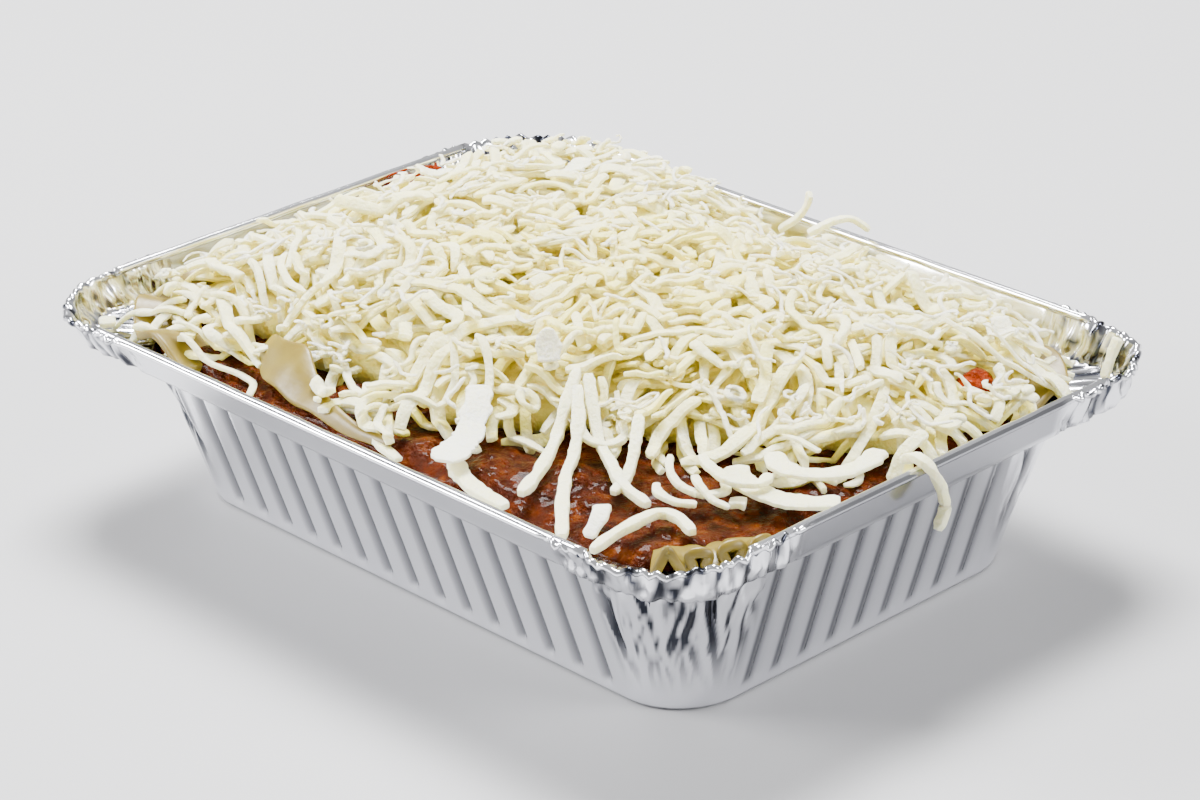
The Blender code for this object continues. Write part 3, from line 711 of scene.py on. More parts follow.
def sauce_height(x, y):
    """Crossed waves round the sauce's level, and one larger lump near the front."""
    waves = (0.55 * MM * np.sin(x / (7.3 * MM) + 0.6) * np.cos(y / (6.1 * MM))
             + 0.45 * MM * np.sin((x + y) / (4.9 * MM) + 1.1))
    return SAUCE_LEVEL + waves + mound(x, y, *SAUCE_LUMP)


def heap_inside(x, y):
    """Distance inside the heap's outline: a rounded oblong less its open front corner."""
    over = np.maximum(np.abs(x) - HEAP_HALF[0] + HEAP_CORNER, 0)
    deep = np.maximum(np.abs(y) - HEAP_HALF[1] + HEAP_CORNER, 0)
    walls = HEAP_CORNER - np.hypot(over, deep)
    along = unit(CUT_TO - CUT_FROM)
    cut = (y - CUT_FROM[1]) * along[0] - (x - CUT_FROM[0]) * along[1] - CUT_BACK
    cut = cut + 1.6 * MM * np.sin(x / (6.5 * MM))
    side = y - HEAP_SIDE_Y + 1.5 * MM * np.sin(x / (8.0 * MM))
    return np.minimum(np.minimum(walls, cut), side)


def heap_height(x, y):
    """Top of the heap: it rises quickly from its edge to a rolling crest, with a bank at the back."""
    inside = np.maximum(heap_inside(x, y), 0)
    rise = HEAP_RISE * (1 - np.exp(-inside / HEAP_SLOPE_RUN))
    dip = 1 - mound(x, y, 6 * MM, 56 * MM, 14 * MM, 0.4)
    sag = 1 - 0.18 * np.clip(x / (90 * MM), 0, 1)
    rough = (0.9 * MM * np.sin(x / (6.3 * MM) + 0.4) * np.sin(y / (7.9 * MM) + 2.0)
             + 0.7 * MM * np.sin((x - y) / (5.1 * MM)))
    bank = 6.5 * MM * np.exp(-((x + 42 * MM) / (26 * MM))**4 - ((y - 64 * MM) / (11 * MM))**2)
    return HEAP_FOOT + rise * dip * sag + rough * np.minimum(inside / (6 * MM), 1) + bank


print("heap crest, mm:", round(float(heap_height(HEAP_CENTRE[0], HEAP_CENTRE[1])) / MM, 1))


# %% Pebbles of meat
def pebbles(x, y, size, seed):
    """Domes of about this size: 1 at the nearest scattered point, 0 at a cell's edge."""
    shuffle = np.random.default_rng(seed).random((64, 64, 3))
    u, v = x / size + 500, y / size + 500
    cell_u, cell_v = np.floor(u).astype(int), np.floor(v).astype(int)
    best = np.full(u.shape, 9.0)
    tall = np.zeros(u.shape)
    for step_u in (-1, 0, 1):
        for step_v in (-1, 0, 1):
            spot = shuffle[(cell_u + step_u) % 64, (cell_v + step_v) % 64]
            away = np.hypot(cell_u + step_u + spot[..., 0] - u, cell_v + step_v + spot[..., 1] - v)
            tall = np.where(away < best, spot[..., 2], tall)
            best = np.minimum(best, away)
    return np.sqrt(np.clip(1 - (best / 0.75)**2, 0, 1)) * (0.35 + 0.65 * tall)


# middle x and y, spread and height of a few larger lumps, mm
MEAT_LUMPS = ((-20, -50, 6.5, 2.8), (8.5, -56, 6, 1.6), (-50, -46.5, 5, 2.4), (31, -51, 8, 1.2))


def sauce_relief(x, y):
    """Coarse, middle and fine crumbs, drowned here and there by smooth sauce, and larger lumps."""
    bend_x, bend_y = (place + 1.5 * MM * lattice(x / (5 * MM) + 60, y / (5 * MM) + 60, seed, True)
                      for place, seed in ((x, 41), (y, 42)))
    coarse = pebbles(bend_x, bend_y, 6.5 * MM, 43)
    middle = pebbles(bend_x, bend_y, 3.1 * MM, 44)
    fine = pebbles(bend_x, bend_y, 1.7 * MM, 45)
    wet = smoothstep(0.35, 0.7, lattice(x / (9 * MM) + 60, y / (9 * MM) + 60, 46, True))
    crumbs = 1.4 * MM * coarse + (0.4 + 0.6 * wet) * (0.9 * MM * middle + 0.5 * MM * fine) - 1.1 * MM
    for lump in MEAT_LUMPS:
        crumbs = crumbs + mound(x, y, *(size * MM for size in lump))
    return crumbs


# %% Pour the sauce
SAUCE_INSET = 1.9 * MM
SAUCE_BASE = 0.8 * MM
SAUCE_GRID = (350, 250)


def to_wall(a, b, z):
    """Squeeze the square -1..1 into the tray's inside at height z, along rays from its middle."""
    half, radius = (size - SAUCE_INSET for size in wall_size(z))
    x, y = a * half[0], b * half[1]
    angle = np.arctan2(np.abs(y), np.abs(x) + 1e-12)
    reach = corner_reach(half[0], half[1], radius, angle)
    square = np.hypot(x, y) / np.maximum(np.maximum(np.abs(a), np.abs(b)), 1e-9)
    scale = np.where(square > 0, reach / np.maximum(square, 1e-9), 1)
    return x * scale, y * scale


def make_sauce():
    """The pebbled top, then its edge let down the inside of the walls to the base."""
    columns, rows = SAUCE_GRID
    a, b = np.meshgrid(np.linspace(-1, 1, columns), np.linspace(-1, 1, rows))
    x, y = to_wall(a, b, SAUCE_EDGE)
    edge = np.clip((1 - np.maximum(np.abs(a), np.abs(b))) / 0.06, 0, 1)
    z = SAUCE_EDGE + (sauce_height(x, y) + sauce_relief(x, y) - SAUCE_EDGE) * np.sqrt(edge)
    top = np.stack([x, y, z], axis=-1).reshape(-1, 3)
    index = np.arange(rows * columns).reshape(rows, columns)
    border = np.concatenate([index[0, :-1], index[:-1, -1], index[-1, :0:-1], index[:0:-1, 0]])
    low_x, low_y = to_wall(a.ravel()[border], b.ravel()[border], 1.0 * MM)
    low = np.column_stack([low_x, low_y, np.full(len(border), SAUCE_BASE)])
    ring = np.arange(len(border))
    skirt = np.stack([ring + len(top), np.roll(ring, -1) + len(top), np.roll(border, -1), border], axis=1)
    faces = grid_faces(rows, columns).tolist() + skirt.tolist() + [(ring + len(top))[::-1].tolist()]
    sauce = put_mesh("meat_sauce_top", np.concatenate([top, low]), faces, SAUCE_LOOK)
    return finish_piece(sauce, "meat_sauce", "meat_sauce")


make_sauce()

# %% [markdown]
# ## The pasta sheets
# Lasagne sheets have ruffled long edges. Where one reaches the front corner, its cut edge shows as
# a row of humps whose sides nearly meet, like a loop of ribbon set on edge. A sine wave is too
# pointed for that, so the edge also swings back and forth as it rises, which rounds the hump and
# pinches its foot. The other sheets lie flatter and only roll a little.

# %% Pasta helpers
PASTA = 1.8 * MM                # thickness of a sheet
# upper or outer edges of the sheets, in mm
FRONT_FRILL = [(84.2, -63.2, 42.3), (87.2, -60.0, 42.4), (90.4, -56.2, 42.4),
               (93.2, -51.6, 42.4), (95.2, -46.5, 42.4), (95.8, -41.5, 42.2)]
LEFT_FRILL = [(-91.2, -28, 43.4), (-91.6, -38, 43.8), (-90.6, -48, 44.2), (-87, -57, 43.8),
              (-79.5, -63.2, 43.2), (-69, -66, 42.4), (-58, -66.4, 41.4)]
RIGHT_FRILL = [(91.6, 36, 41.4), (91, 45, 41.6), (88.6, 53.5, 41.8), (83, 60.5, 41.8),
               (74.5, 65, 41.6), (64, 66.3, 41.4)]
SIDE_TOP = [(-48, -48.5, 45.2), (-41.5, -51.2, 47.6), (-34, -51.2, 48.2), (-28, -54.0, 46.0),
            (-19, -58.6, 43.2), (-8, -60.8, 41.8), (5, -61, 41.0)]
SIDE_FOOT = [(-46, -55, 41.6), (-40, -58.6, 41.2), (-33, -60.8, 41.0), (-26, -61.8, 40.6),
             (-18, -62.4, 40.2), (-7, -62.6, 39.8), (5, -62.2, 39.4)]
FAR_TIP = [(-76.5, 64.2, 44.0), (-80, 61.8, 51.0), (-83.5, 59.0, 45.0), (-87, 55.5, 46.4),
           (-89.2, 51.0, 43.8)]


def spline_at(points, share):
    """Catmull-Rom curve through points in millimetres, read at shares 0 to 1 of its length."""
    knots = np.array(points, float) * MM
    padded = np.vstack([2 * knots[0] - knots[1], knots, 2 * knots[-1] - knots[-2]])
    place = np.clip(share, 0, 1) * (len(knots) - 1)
    k = np.minimum(place.astype(int), len(knots) - 2)
    t = (place - k)[..., None]
    a, b, c, d = (padded[k + n] for n in range(4))
    return 0.5 * (2 * b + (c - a) * t + (2 * a - 5 * b + 4 * c - d) * t**2
                  + (3 * b - a - 3 * c + d) * t**3)


def inward_of(along):
    """The level direction to the left of a path, which is the side of the filling."""
    side = np.stack([-along[..., 1], along[..., 0], np.zeros(along.shape[:-1])], axis=-1)
    return unit(side)


def put_sheet(name, node, rows, thickness=PASTA):
    """Skin rows of points; give the sheet its thickness about them and one rounding subdivision."""
    rows = np.stack(rows)
    sheet = put_mesh(name, rows.reshape(-1, 3), grid_faces(*rows.shape[:2]), PASTA_LOOK)
    shell = sheet.modifiers.new("thickness", "SOLIDIFY")
    shell.thickness = thickness
    shell.offset = 0.0
    soft = sheet.modifiers.new("soft_edge", "SUBSURF")
    soft.levels = soft.render_levels = 1
    return finish_piece(sheet, "pasta", node)


print("a pasta sheet is", PASTA / MM, "mm thick")


# %% The frilled sheets
FRILL_ROWS = np.linspace(0, 1, 12) ** 1.3


def frill_points(path, width, wave, peaks, drop, pinch, fade, sharp_first, per_peak):
    """Rows of a ruffled sheet.

    Along the edge z = -h cos(f) and the place is f/2pi + p sin(2f), so that the humps are round
    and narrow at their feet; both fade with the distance inwards, where the sheet also sinks.
    """
    phase = np.linspace(0, peaks, per_peak * peaks + 1)
    swing = pinch * np.sin(4 * math.pi * phase)
    height = -np.cos(2 * math.pi * phase)
    if sharp_first:
        tip = 1 - 4 * np.abs(phase - 0.5)
        height = np.where(phase < 1, tip, height)
        swing = np.where(phase < 1, 0, swing)
    ripple = 1 + 0.12 * np.sin(2.3 * phase + 0.7)
    flat = spline_at(path, phase / peaks)
    inward = inward_of(np.gradient(flat, axis=0))
    rows = []
    for part in FRILL_ROWS:
        calm = max(1 - fade * part, 0.1)
        edge = spline_at(path, (phase + swing * calm) / peaks)
        row = edge + inward * (part * width)
        row[:, 2] += wave * calm * ripple * height - drop * part**1.4
        row[:, 2] += 0.25 * MM * np.sin(phase * 3.1 + part * 5)
        rows.append(row)
    return rows


put_sheet("front_frill_sheet", "pasta_front_frill",
          frill_points(FRONT_FRILL, 12 * MM, 2.6 * MM, 4, 3.6 * MM, 0.19, 2.4, True, 28), 2.1 * MM)
put_sheet("left_corner_sheet", "pasta_left_frill",
          frill_points(LEFT_FRILL, 15 * MM, 2.1 * MM, 3, 2.4 * MM, 0.0, 0.8, False, 24))
put_sheet("right_corner_sheet", "pasta_right_frill",
          frill_points(RIGHT_FRILL, 15 * MM, 1.3 * MM, 2, 2.2 * MM, 0.0, 0.8, False, 24))

# %% The smooth sheets
SHEET_SHARE = np.linspace(0, 1, 60)
SHEET_PARTS = np.linspace(0, 1, 10)


def standing_points(path, drop, lean, curl):
    """A sheet on edge: rows go down from its upper edge, lean out, and bow by curl."""
    edge = spline_at(path, SHEET_SHARE)
    inward = inward_of(np.gradient(edge, axis=0))
    rows = []
    for part in SHEET_PARTS:
        row = edge + inward * (lean * part + curl * math.sin(math.pi * part))
        row[:, 2] += 0.3 * MM * np.sin(SHEET_SHARE * 17) * (1 - part) - drop * part
        rows.append(row)
    return rows


def flap_points(top, foot, bulge):
    """A sheet that leans on the wall: rows run from its upper edge to its foot, bowed upwards."""
    high, low = spline_at(top, SHEET_SHARE), spline_at(foot, SHEET_SHARE)
    rows = []
    for part in SHEET_PARTS:
        row = high * (1 - part) + low * part
        row[:, 2] += bulge * math.sin(math.pi * part) + 0.4 * MM * np.sin(SHEET_SHARE * 19 + 2 * part)
        rows.append(row)
    return rows


put_sheet("side_sheet", "pasta_side_sheet", flap_points(SIDE_TOP, SIDE_FOOT, 0.9 * MM))
put_sheet("far_tip_sheet", "pasta_far_tip", standing_points(FAR_TIP, 4.2 * MM, 0.6 * MM, 0.3 * MM))

# %% [markdown]
# ## Tomato lumps
# Two lumps lie on the filling: a round one near the right corner and a wedge at the far side. Each
# is a ball on a grid of latitude and longitude, stretched and dented by noise, and its two poles
# are closed by small caps.

# %% Make the lumps
LUMPS = {
    # name: node, centre, half sizes (mm), noise seed
    "tomato_lump_right": ("tomato_right", (80.3, 33.9, 45.4), (4.1, 4.3, 4.1), 51),
    "tomato_wedge_far": ("tomato_far", (-94.2, 35.0, 44.2), (2.7, 5.6, 4.6), 55),
}


def make_lump(name, node, centre, half, seed):
    """A ball whose radius is 1 + broad dents + fine grain."""
    turns = np.linspace(0, 2 * math.pi, 56, endpoint=False)
    climb = np.linspace(-math.pi / 2, math.pi / 2, 38)[1:-1]
    turn, up = np.meshgrid(turns, climb)
    x, y, z = np.cos(up) * np.cos(turn), np.cos(up) * np.sin(turn), np.sin(up)
    dent = 0.22 * (lattice(2.1 * x + 20, 2.1 * y + 2.4 * z + 20, seed, True) - 0.6)
    grain = 0.09 * (lattice(6.5 * x + 30, 6.5 * y + 7.0 * z + 30, seed + 1, True) - 0.5)
    ball = np.stack([x, y, z], axis=-1) * (1 + dent + grain)[..., None]
    points = (ball * half + centre).reshape(-1, 3) * MM
    lump = put_mesh(name, points, tube_faces(len(climb), len(turns)), TOMATO_LOOK)
    return finish_piece(lump, "tomato", node)


for lump_name, lump_facts in LUMPS.items():
    make_lump(lump_name, *lump_facts)

# %% [markdown]
# ## The cheese heap: a core and a height map
# A heap of shreds is mostly air near its surface, so the plain heap is replaced by a smaller core
# with real shreds over it. To lay them without a physics run, a height map of the whole tray is
# kept: each shred is draped over the map, and then raises the map under itself, so that the next
# one rests on it. Shreds are dropped where the map is furthest below the heap's true top.

# %% The core
CORE_INSET = 6.0 * MM
CORE_SHARE = 0.6
CORE_FLOOR = 39.0 * MM
CORE_DEPTH_SHADE = 0.9                 # painted depth shade: the core lies deep in the heap, so it is painted deep yellow


def core_height(x, y):
    """A share of the heap's rise over the sauce, with ridges as of buried shreds."""
    buried = pebbles(x + 2 * y, y - 0.4 * x, 4.2 * MM, 61)
    return CORE_FLOOR + CORE_SHARE * (heap_height(x, y) - CORE_FLOOR) - 1.6 * MM + 0.9 * MM * buried


def make_core():
    """Rings that shrink from the heap's inset outline to its crest; each follows core_height."""
    turns = np.linspace(0, 2 * math.pi, 220, endpoint=False)
    far = np.arange(5, 110, 0.25)[:, None] * MM
    x = HEAP_CENTRE[0] + far * np.cos(turns)
    y = HEAP_CENTRE[1] + far * np.sin(turns)
    reach = far[np.argmax(heap_inside(x, y) < CORE_INSET, axis=0), 0]
    rings = []
    for part in np.concatenate([[1.0], np.linspace(1, 0.02, 60)]):
        x = HEAP_CENTRE[0] + part * reach * np.cos(turns)
        y = HEAP_CENTRE[1] + part * reach * np.sin(turns)
        rings.append(np.column_stack([x, y, core_height(x, y)]))
    rings[0][:, 2] = CORE_FLOOR
    points = np.concatenate(rings)
    core = put_mesh("cheese_core", points, tube_faces(len(rings), len(turns)), CHEESE_LOOK)
    # painted depth shade over the whole core
    set_value(core, "depth_shade_and_tone", np.full(len(points), CORE_DEPTH_SHADE))
    return finish_piece(core, "cheese")


make_core()

# %% The height map
CELL = 0.5 * MM
MAP_LOW = np.array([-106.0, -79.0]) * MM
MAP_SIZE = (424, 316)
map_x, map_y = np.meshgrid(MAP_LOW[0] + CELL * np.arange(MAP_SIZE[0]),
                           MAP_LOW[1] + CELL * np.arange(MAP_SIZE[1]), indexing="ij")


def oblong_inside(x, y, half, radius):
    """Distance inside a rounded oblong, negative outside it."""
    over = np.maximum(np.abs(x) - half[0] + radius, 0)
    deep = np.maximum(np.abs(y) - half[1] + radius, 0)
    nearest = np.minimum(half[0] - np.abs(x), half[1] - np.abs(y))
    return np.where((over > 0) & (deep > 0), radius - np.hypot(over, deep), nearest)


def bare_map():
    """Height of what lies under the shreds: sauce, core, ledge and rim."""
    ground = sauce_height(map_x, map_y)
    in_core = heap_inside(map_x, map_y) > CORE_INSET
    ground = np.where(in_core, np.maximum(ground, core_height(map_x, map_y)), ground)
    in_wall = oblong_inside(map_x, map_y, WALL_HALF - SAUCE_INSET, WALL_RADIUS) > 0
    ground = np.where(in_wall, ground, np.maximum(WALL_TOP, np.where(in_core, ground, 0)))
    in_rim = oblong_inside(map_x, map_y, WALL_HALF + LEDGE + 1.2 * MM, LEDGE_RADIUS) > 0
    in_tray = oblong_inside(map_x, map_y, WALL_HALF + LEDGE + 4.0 * MM, LEDGE_RADIUS) > 0
    return np.where(in_rim, ground, np.where(in_tray, RIM_TOP, 0.0))


height_map = bare_map()
in_heap = heap_inside(map_x, map_y)
heap_top = heap_height(map_x, map_y) - 0.8 * MM
wanted_map = np.where(in_heap > 1.0 * MM, heap_top, 0.0)
# how high a shred may lie: to the heap's top, or a little over the ground beside it
near_heap = 9.0 * MM * np.exp(np.minimum(in_heap, 0) / (6 * MM))
ceiling_map = np.where(in_heap > 0, np.maximum(heap_top, 45 * MM), height_map + 1.5 * MM + near_heap)
print("height map:", height_map.shape, "cells of", CELL / MM, "mm")


# %% Drape a shred
def map_index(x, y):
    """The map cell under each point."""
    i = np.clip(np.rint((x - MAP_LOW[0]) / CELL).astype(int), 0, MAP_SIZE[0] - 1)
    j = np.clip(np.rint((y - MAP_LOW[1]) / CELL).astype(int), 0, MAP_SIZE[1] - 1)
    return i, j


STIFF = 0.085        # how quickly a draped shred may bend down from what holds it up, per mm


def drape(plan, thick, half_width):
    """Height of a shred over the map: the ground's highest points, joined by bending arcs.

    At each point it is the greatest, over all others, of their ground less k s^2, where s is the
    distance along the shred; so it never cuts the ground and never bends too sharply.
    """
    step = np.hypot(*np.diff(plan, axis=0).T)
    along = np.concatenate([[0], np.cumsum(step)])
    sides = inward_of(np.gradient(np.column_stack([plan, along * 0]), axis=0))[:, :2]
    ground = np.max([height_map[map_index(*(plan + sides * shift).T)]
                     for shift in (-0.7 * half_width, 0.0, 0.7 * half_width)], axis=0)
    apart = np.abs(along[:, None] - along[None, :]) / MM
    reach = ground[None, :] - STIFF * apart**2 * MM
    return reach.max(axis=1) + thick / 2


SETTLE = 0.55        # crossing shreds press into each other a little
STAMP = [(i, j) for i in range(-4, 5) for j in range(-4, 5)]


def raise_map(route, half_width, thick):
    """Lift the map to the shred's top in every cell that it covers."""
    fine = np.linspace(0, len(route) - 1, 6 * len(route))
    line = np.stack([np.interp(fine, np.arange(len(route)), route[:, n]) for n in range(3)], axis=1)
    i, j = map_index(line[:, 0], line[:, 1])
    for di, dj in STAMP:
        if math.hypot(di, dj) * CELL <= half_width:
            cell = (np.clip(i + di, 0, MAP_SIZE[0] - 1), np.clip(j + dj, 0, MAP_SIZE[1] - 1))
            np.maximum.at(height_map, cell, line[:, 2] + SETTLE * thick / 2)


print("drape bends at most", 2 * STIFF, "per mm")

# %% [markdown]
# ## Shreds
# A grater throws shreds of many kinds: plain sticks, long bowed ones, tight curls, thin wisps and
# broad ribbons. Each kind has its ranges of length, width and curl. A shred is a rounded oblong
# section carried along its draped route, with a few sides and one or two dozen steps, because
# there are over a thousand of them. All the shreds of one kind are joined into one mesh.

# %% One shred as a tube
def oblong_section(sides, power):
    """Corners of a rounded oblong, -1 to 1: cos and sin of even turns, raised to a small power."""
    angle = (np.arange(sides) + 0.5) * 2 * math.pi / sides
    wide, tall = np.cos(angle), np.sin(angle)
    return np.sign(wide) * np.abs(wide) ** power, np.sign(tall) * np.abs(tall) ** power


def carry(route, across, over, wide, tall):
    """A ring of points round each place of the route: wide goes along across, tall along over."""
    return (route[:, None, :] + wide[..., None] * across[:, None, :]
            + tall[..., None] * over[:, None, :])


def tube_points(route, width, thick, roll, sides, rough, rng):
    """Rings of a shred: across is level, over is square to it, and both roll along the way."""
    count = len(route)
    along = unit(np.gradient(route, axis=0))
    flat = inward_of(along)
    over = np.cross(along, flat)
    turn = roll[0] + (roll[1] - roll[0]) * np.linspace(0, 1, count)
    across = np.cos(turn)[:, None] * flat + np.sin(turn)[:, None] * over
    over = np.cross(along, across)
    wide, tall = oblong_section(sides, 0.5)
    taper = np.ones(count)
    taper[0], taper[-1] = rng.uniform(0.35, 0.9, 2)
    wobble = 1 + rough * rng.uniform(-1, 1, (count, sides))
    return carry(route, across, over, (taper * width / 2)[:, None] * wide * wobble,
                 (np.sqrt(taper) * thick / 2)[:, None] * tall * wobble)


CRISP, SOFT = 36.0, 80.0     # edges sharper than this, in degrees, stay crisp, as a grater cuts them


def join_tubes(name, tubes, look, crisp=CRISP):
    """All shreds of one kind as one mesh with closed ends."""
    rows, sides = tubes[0].shape[:2]
    points = np.concatenate([tube.reshape(-1, 3) for tube in tubes])
    faces = [[corner + start for corner in face] for start in range(0, len(points), rows * sides)
             for face in tube_faces(rows, sides)]
    piece = put_mesh(name, points, faces, look)
    piece.data.set_sharp_from_angle(angle=math.radians(crisp))
    return piece


# %% Kinds of shred
KINDS = {
    # name: count, length, width, thickness, steps, sides, curl (1/mm), rough, end lift, headroom
    "cheese_bed": (720, (14, 34), (1.7, 3.3), (0.9, 1.7), 12, 6, 0.045, 0.10, 0.0, 0.6),
    "cheese_sticks": (430, (14, 38), (1.5, 3.0), (0.8, 1.6), 14, 6, 0.06, 0.12, 2.6, 2.7),
    "cheese_bows": (230, (26, 52), (1.9, 3.3), (0.9, 1.6), 24, 8, 0.07, 0.10, 2.8, 3.0),
    "cheese_curls": (230, (12, 28), (1.1, 2.6), (0.6, 1.2), 24, 6, 0.24, 0.14, 2.2, 3.2),
    "cheese_ribbons": (60, (12, 28), (3.4, 5.4), (0.6, 1.0), 18, 8, 0.06, 0.16, 2.2, 3.0),
    "cheese_wisps": (240, (5, 16), (0.6, 1.2), (0.4, 0.8), 12, 6, 0.18, 0.28, 2.5, 4.5),
}
LAYERED_KINDS = ("cheese_bed",)
CRISP_KINDS = ("cheese_bed", "cheese_sticks", "cheese_ribbons")
WAVE = 5.0           # radians of slow swing for each 1/mm of curl


def plan_route(centre, heading, length, curl, steps, rng):
    """A level path of this length: its heading drifts by a steady curl plus a slow wave."""
    s = np.linspace(-0.5, 0.5, steps) * length
    steady = rng.normal(0, curl)
    wave = WAVE * rng.normal(0, curl)
    phase = rng.uniform(0, 2 * math.pi)
    angle = heading + steady * s / MM + wave * np.sin(2 * math.pi * s / length + phase)
    move = np.stack([np.cos(angle), np.sin(angle)], axis=1) * (length / (steps - 1))
    path = np.cumsum(move, axis=0)
    return centre + path - path[steps // 2]


def allowed(plan, spill):
    """True if the whole path lies inside the rim, off the bare spots and near the heap."""
    inside = oblong_inside(plan[:, 0], plan[:, 1], WALL_HALF + LEDGE - 1.5 * MM, LEDGE_RADIUS)
    if inside.min() <= 0 or heap_inside(plan[:, 0], plan[:, 1]).min() <= -spill:
        return False
    return not bare_spots[map_index(plan[:, 0], plan[:, 1])].any()


SPILL = 10.0 * MM            # how far a shred may reach past the heap's outline
STRIP_SPILL = 15.0 * MM
BARE = np.array([
    # places that no shred crosses, so that what lies there shows: middle x and y, reach, mm
    (80.3, 33.9, 4.4), (-94.2, 35.0, 5.6), (85.0, -1.0, 3.6), (-3.0, 60.0, 5.0),
    (-87.0, 12.0, 3.4), (-50.0, -46.5, 3.5), (-19.0, -51.0, 6.0), (8.5, -57.0, 4.0),
    (-38.0, -54.0, 5.5), (-29.0, -57.0, 4.5), (-27.0, -62.5, 4.5),
])
bare_spots = np.zeros(MAP_SIZE, bool)
for bare_x, bare_y, bare_reach in BARE * MM:
    bare_spots |= np.hypot(map_x - bare_x, map_y - bare_y) < bare_reach
print("kinds of shred:", len(KINDS), "shreds:", sum(k[0] for k in KINDS.values()))


# %% Lay the shreds
def pick_spots(count, rng, need):
    """Cells drawn with a chance that grows with the height still missing there."""
    weight = np.maximum(need, 0).ravel()
    cells = rng.choice(weight.size, size=count, p=weight / weight.sum())
    return np.stack([map_x.ravel()[cells], map_y.ravel()[cells]], axis=1)


TRIES, SHRINK = 8, 0.88
KNEE, ROOF = 58.5 * MM, 61.2 * MM    # heights above the knee are squeezed to stay under the roof


def under_roof(z):
    """Leave z below KNEE as it is; above it z -> KNEE + r tanh((z - KNEE) / r), r = ROOF - KNEE."""
    room = ROOF - KNEE
    return np.where(z > KNEE, KNEE + room * np.tanh((z - KNEE) / room), z)


def lay_shred(spot, facts, rng, heading=None, spill=SPILL):
    """One shred: a path that fits, draped, its ends lifted, its section carried along it.

    A path that does not fit is drawn again, shorter; after the last try there is no shred.
    """
    _, lengths, widths, thicks, steps, sides, curl, rough, lift, headroom = facts
    length = rng.uniform(*lengths) * MM
    width, thick = rng.uniform(*widths) * MM, rng.uniform(*thicks) * MM
    for _ in range(TRIES):
        turn = rng.uniform(0, 2 * math.pi) if heading is None else heading + rng.normal(0, 0.5)
        plan = plan_route(spot, turn, length, curl, steps, rng)
        z = drape(plan, thick, width / 2)
        over = z - ceiling_map[map_index(plan[:, 0], plan[:, 1])]
        if allowed(plan, spill) and over.max() < headroom * MM:
            break
        length *= SHRINK
    else:
        return None
    s = np.linspace(0, 1, steps)
    up = rng.uniform(0, lift, 2) ** 2 / max(lift, 1) * MM
    z = under_roof(z + up[0] * smoothstep(0.4, 0.0, s) + up[1] * smoothstep(0.6, 1.0, s))
    route = np.column_stack([plan, z])
    raise_map(route, width / 2, thick)
    roll = rng.normal(0, 0.35, 2)
    return tube_points(route, width, thick, roll, sides, rough, rng)


BATCH = 25
EDGE_SHARE = 0.22    # share of a kind that is laid across the heap's edge, pointing downhill
EDGE_IN, EDGE_OUT = 4.5 * MM, -1.0 * MM


def lay_edge(name, rng):
    """Shreds that run down over the heap's edge: each heads against the slope of heap_inside."""
    facts = KINDS[name]
    near = (in_heap > EDGE_OUT) & (in_heap < EDGE_IN) & (map_y < 45 * MM)
    downhill = np.arctan2(*[-g for g in np.gradient(in_heap, CELL)][::-1])
    return [lay_shred(spot, facts, rng, downhill[map_index(*spot)])
            for spot in pick_spots(int(facts[0] * EDGE_SHARE), rng, near.astype(float))]


def lay_kind(name, seed):
    """The shreds of one kind; their spots are picked in batches, so that each sees the last one."""
    rng = np.random.default_rng(seed)
    facts = KINDS[name]
    tubes = lay_edge(name, rng)
    for _ in range(0, facts[0], BATCH):
        short = wanted_map - height_map
        need = np.where(short > 0.3 * MM, short**2, 0)
        if name not in LAYERED_KINDS:
            need = need + np.where(wanted_map > 0, (1.2 * MM) ** 2, 0)
        if need.max() <= 0:
            break
        tubes += [lay_shred(spot, facts, rng) for spot in pick_spots(BATCH, rng, need)]
    return tubes


STRIPS = {
    # where shreds lie scattered on bare sauce: middle and half size in mm, count, heading, spread
    "left_strip": ((-68, -55), (18, 7), 40, 0.6, 0.9),
    "middle_strip": ((-16, -57), (24, 5), 30, 0.4, 0.9),
    "right_patch": ((80, -12), (9, 14), 12, 2.2, 0.8),
    "far_left": ((-88, 5), (7, 34), 26, 1.6, 0.7),
}


def lay_strips(seed):
    """Scattered sticks beside the heap: places are random within each strip's oblong."""
    rng = np.random.default_rng(seed)
    tubes = []
    for middle, half, count, heading, spread in STRIPS.values():
        for _ in range(count):
            spot = (np.array(middle) + rng.uniform(-1, 1, 2) * half) * MM
            tubes.append(lay_shred(spot, KINDS["cheese_sticks"], rng, heading + rng.normal(0, spread),
                                   STRIP_SPILL))
    return tubes


laid_shreds = {"cheese_scattered": lay_strips(69)}
for kind_number, kind in enumerate(KINDS):
    laid_shreds[kind] = lay_kind(kind, 70 + kind_number)
laid_shreds = {kind: [tube for tube in tubes if tube is not None] for kind, tubes in laid_shreds.items()}
print({kind: len(tubes) for kind, tubes in laid_shreds.items()})

# %% Join them
DEPTH_SHADE_RUN = 5.0 * MM
RICH_MIDDLE = np.array([4.0, 4.0]) * MM
RICH_HALF = np.array([62.0, 44.0]) * MM
tone_rng = np.random.default_rng(90)


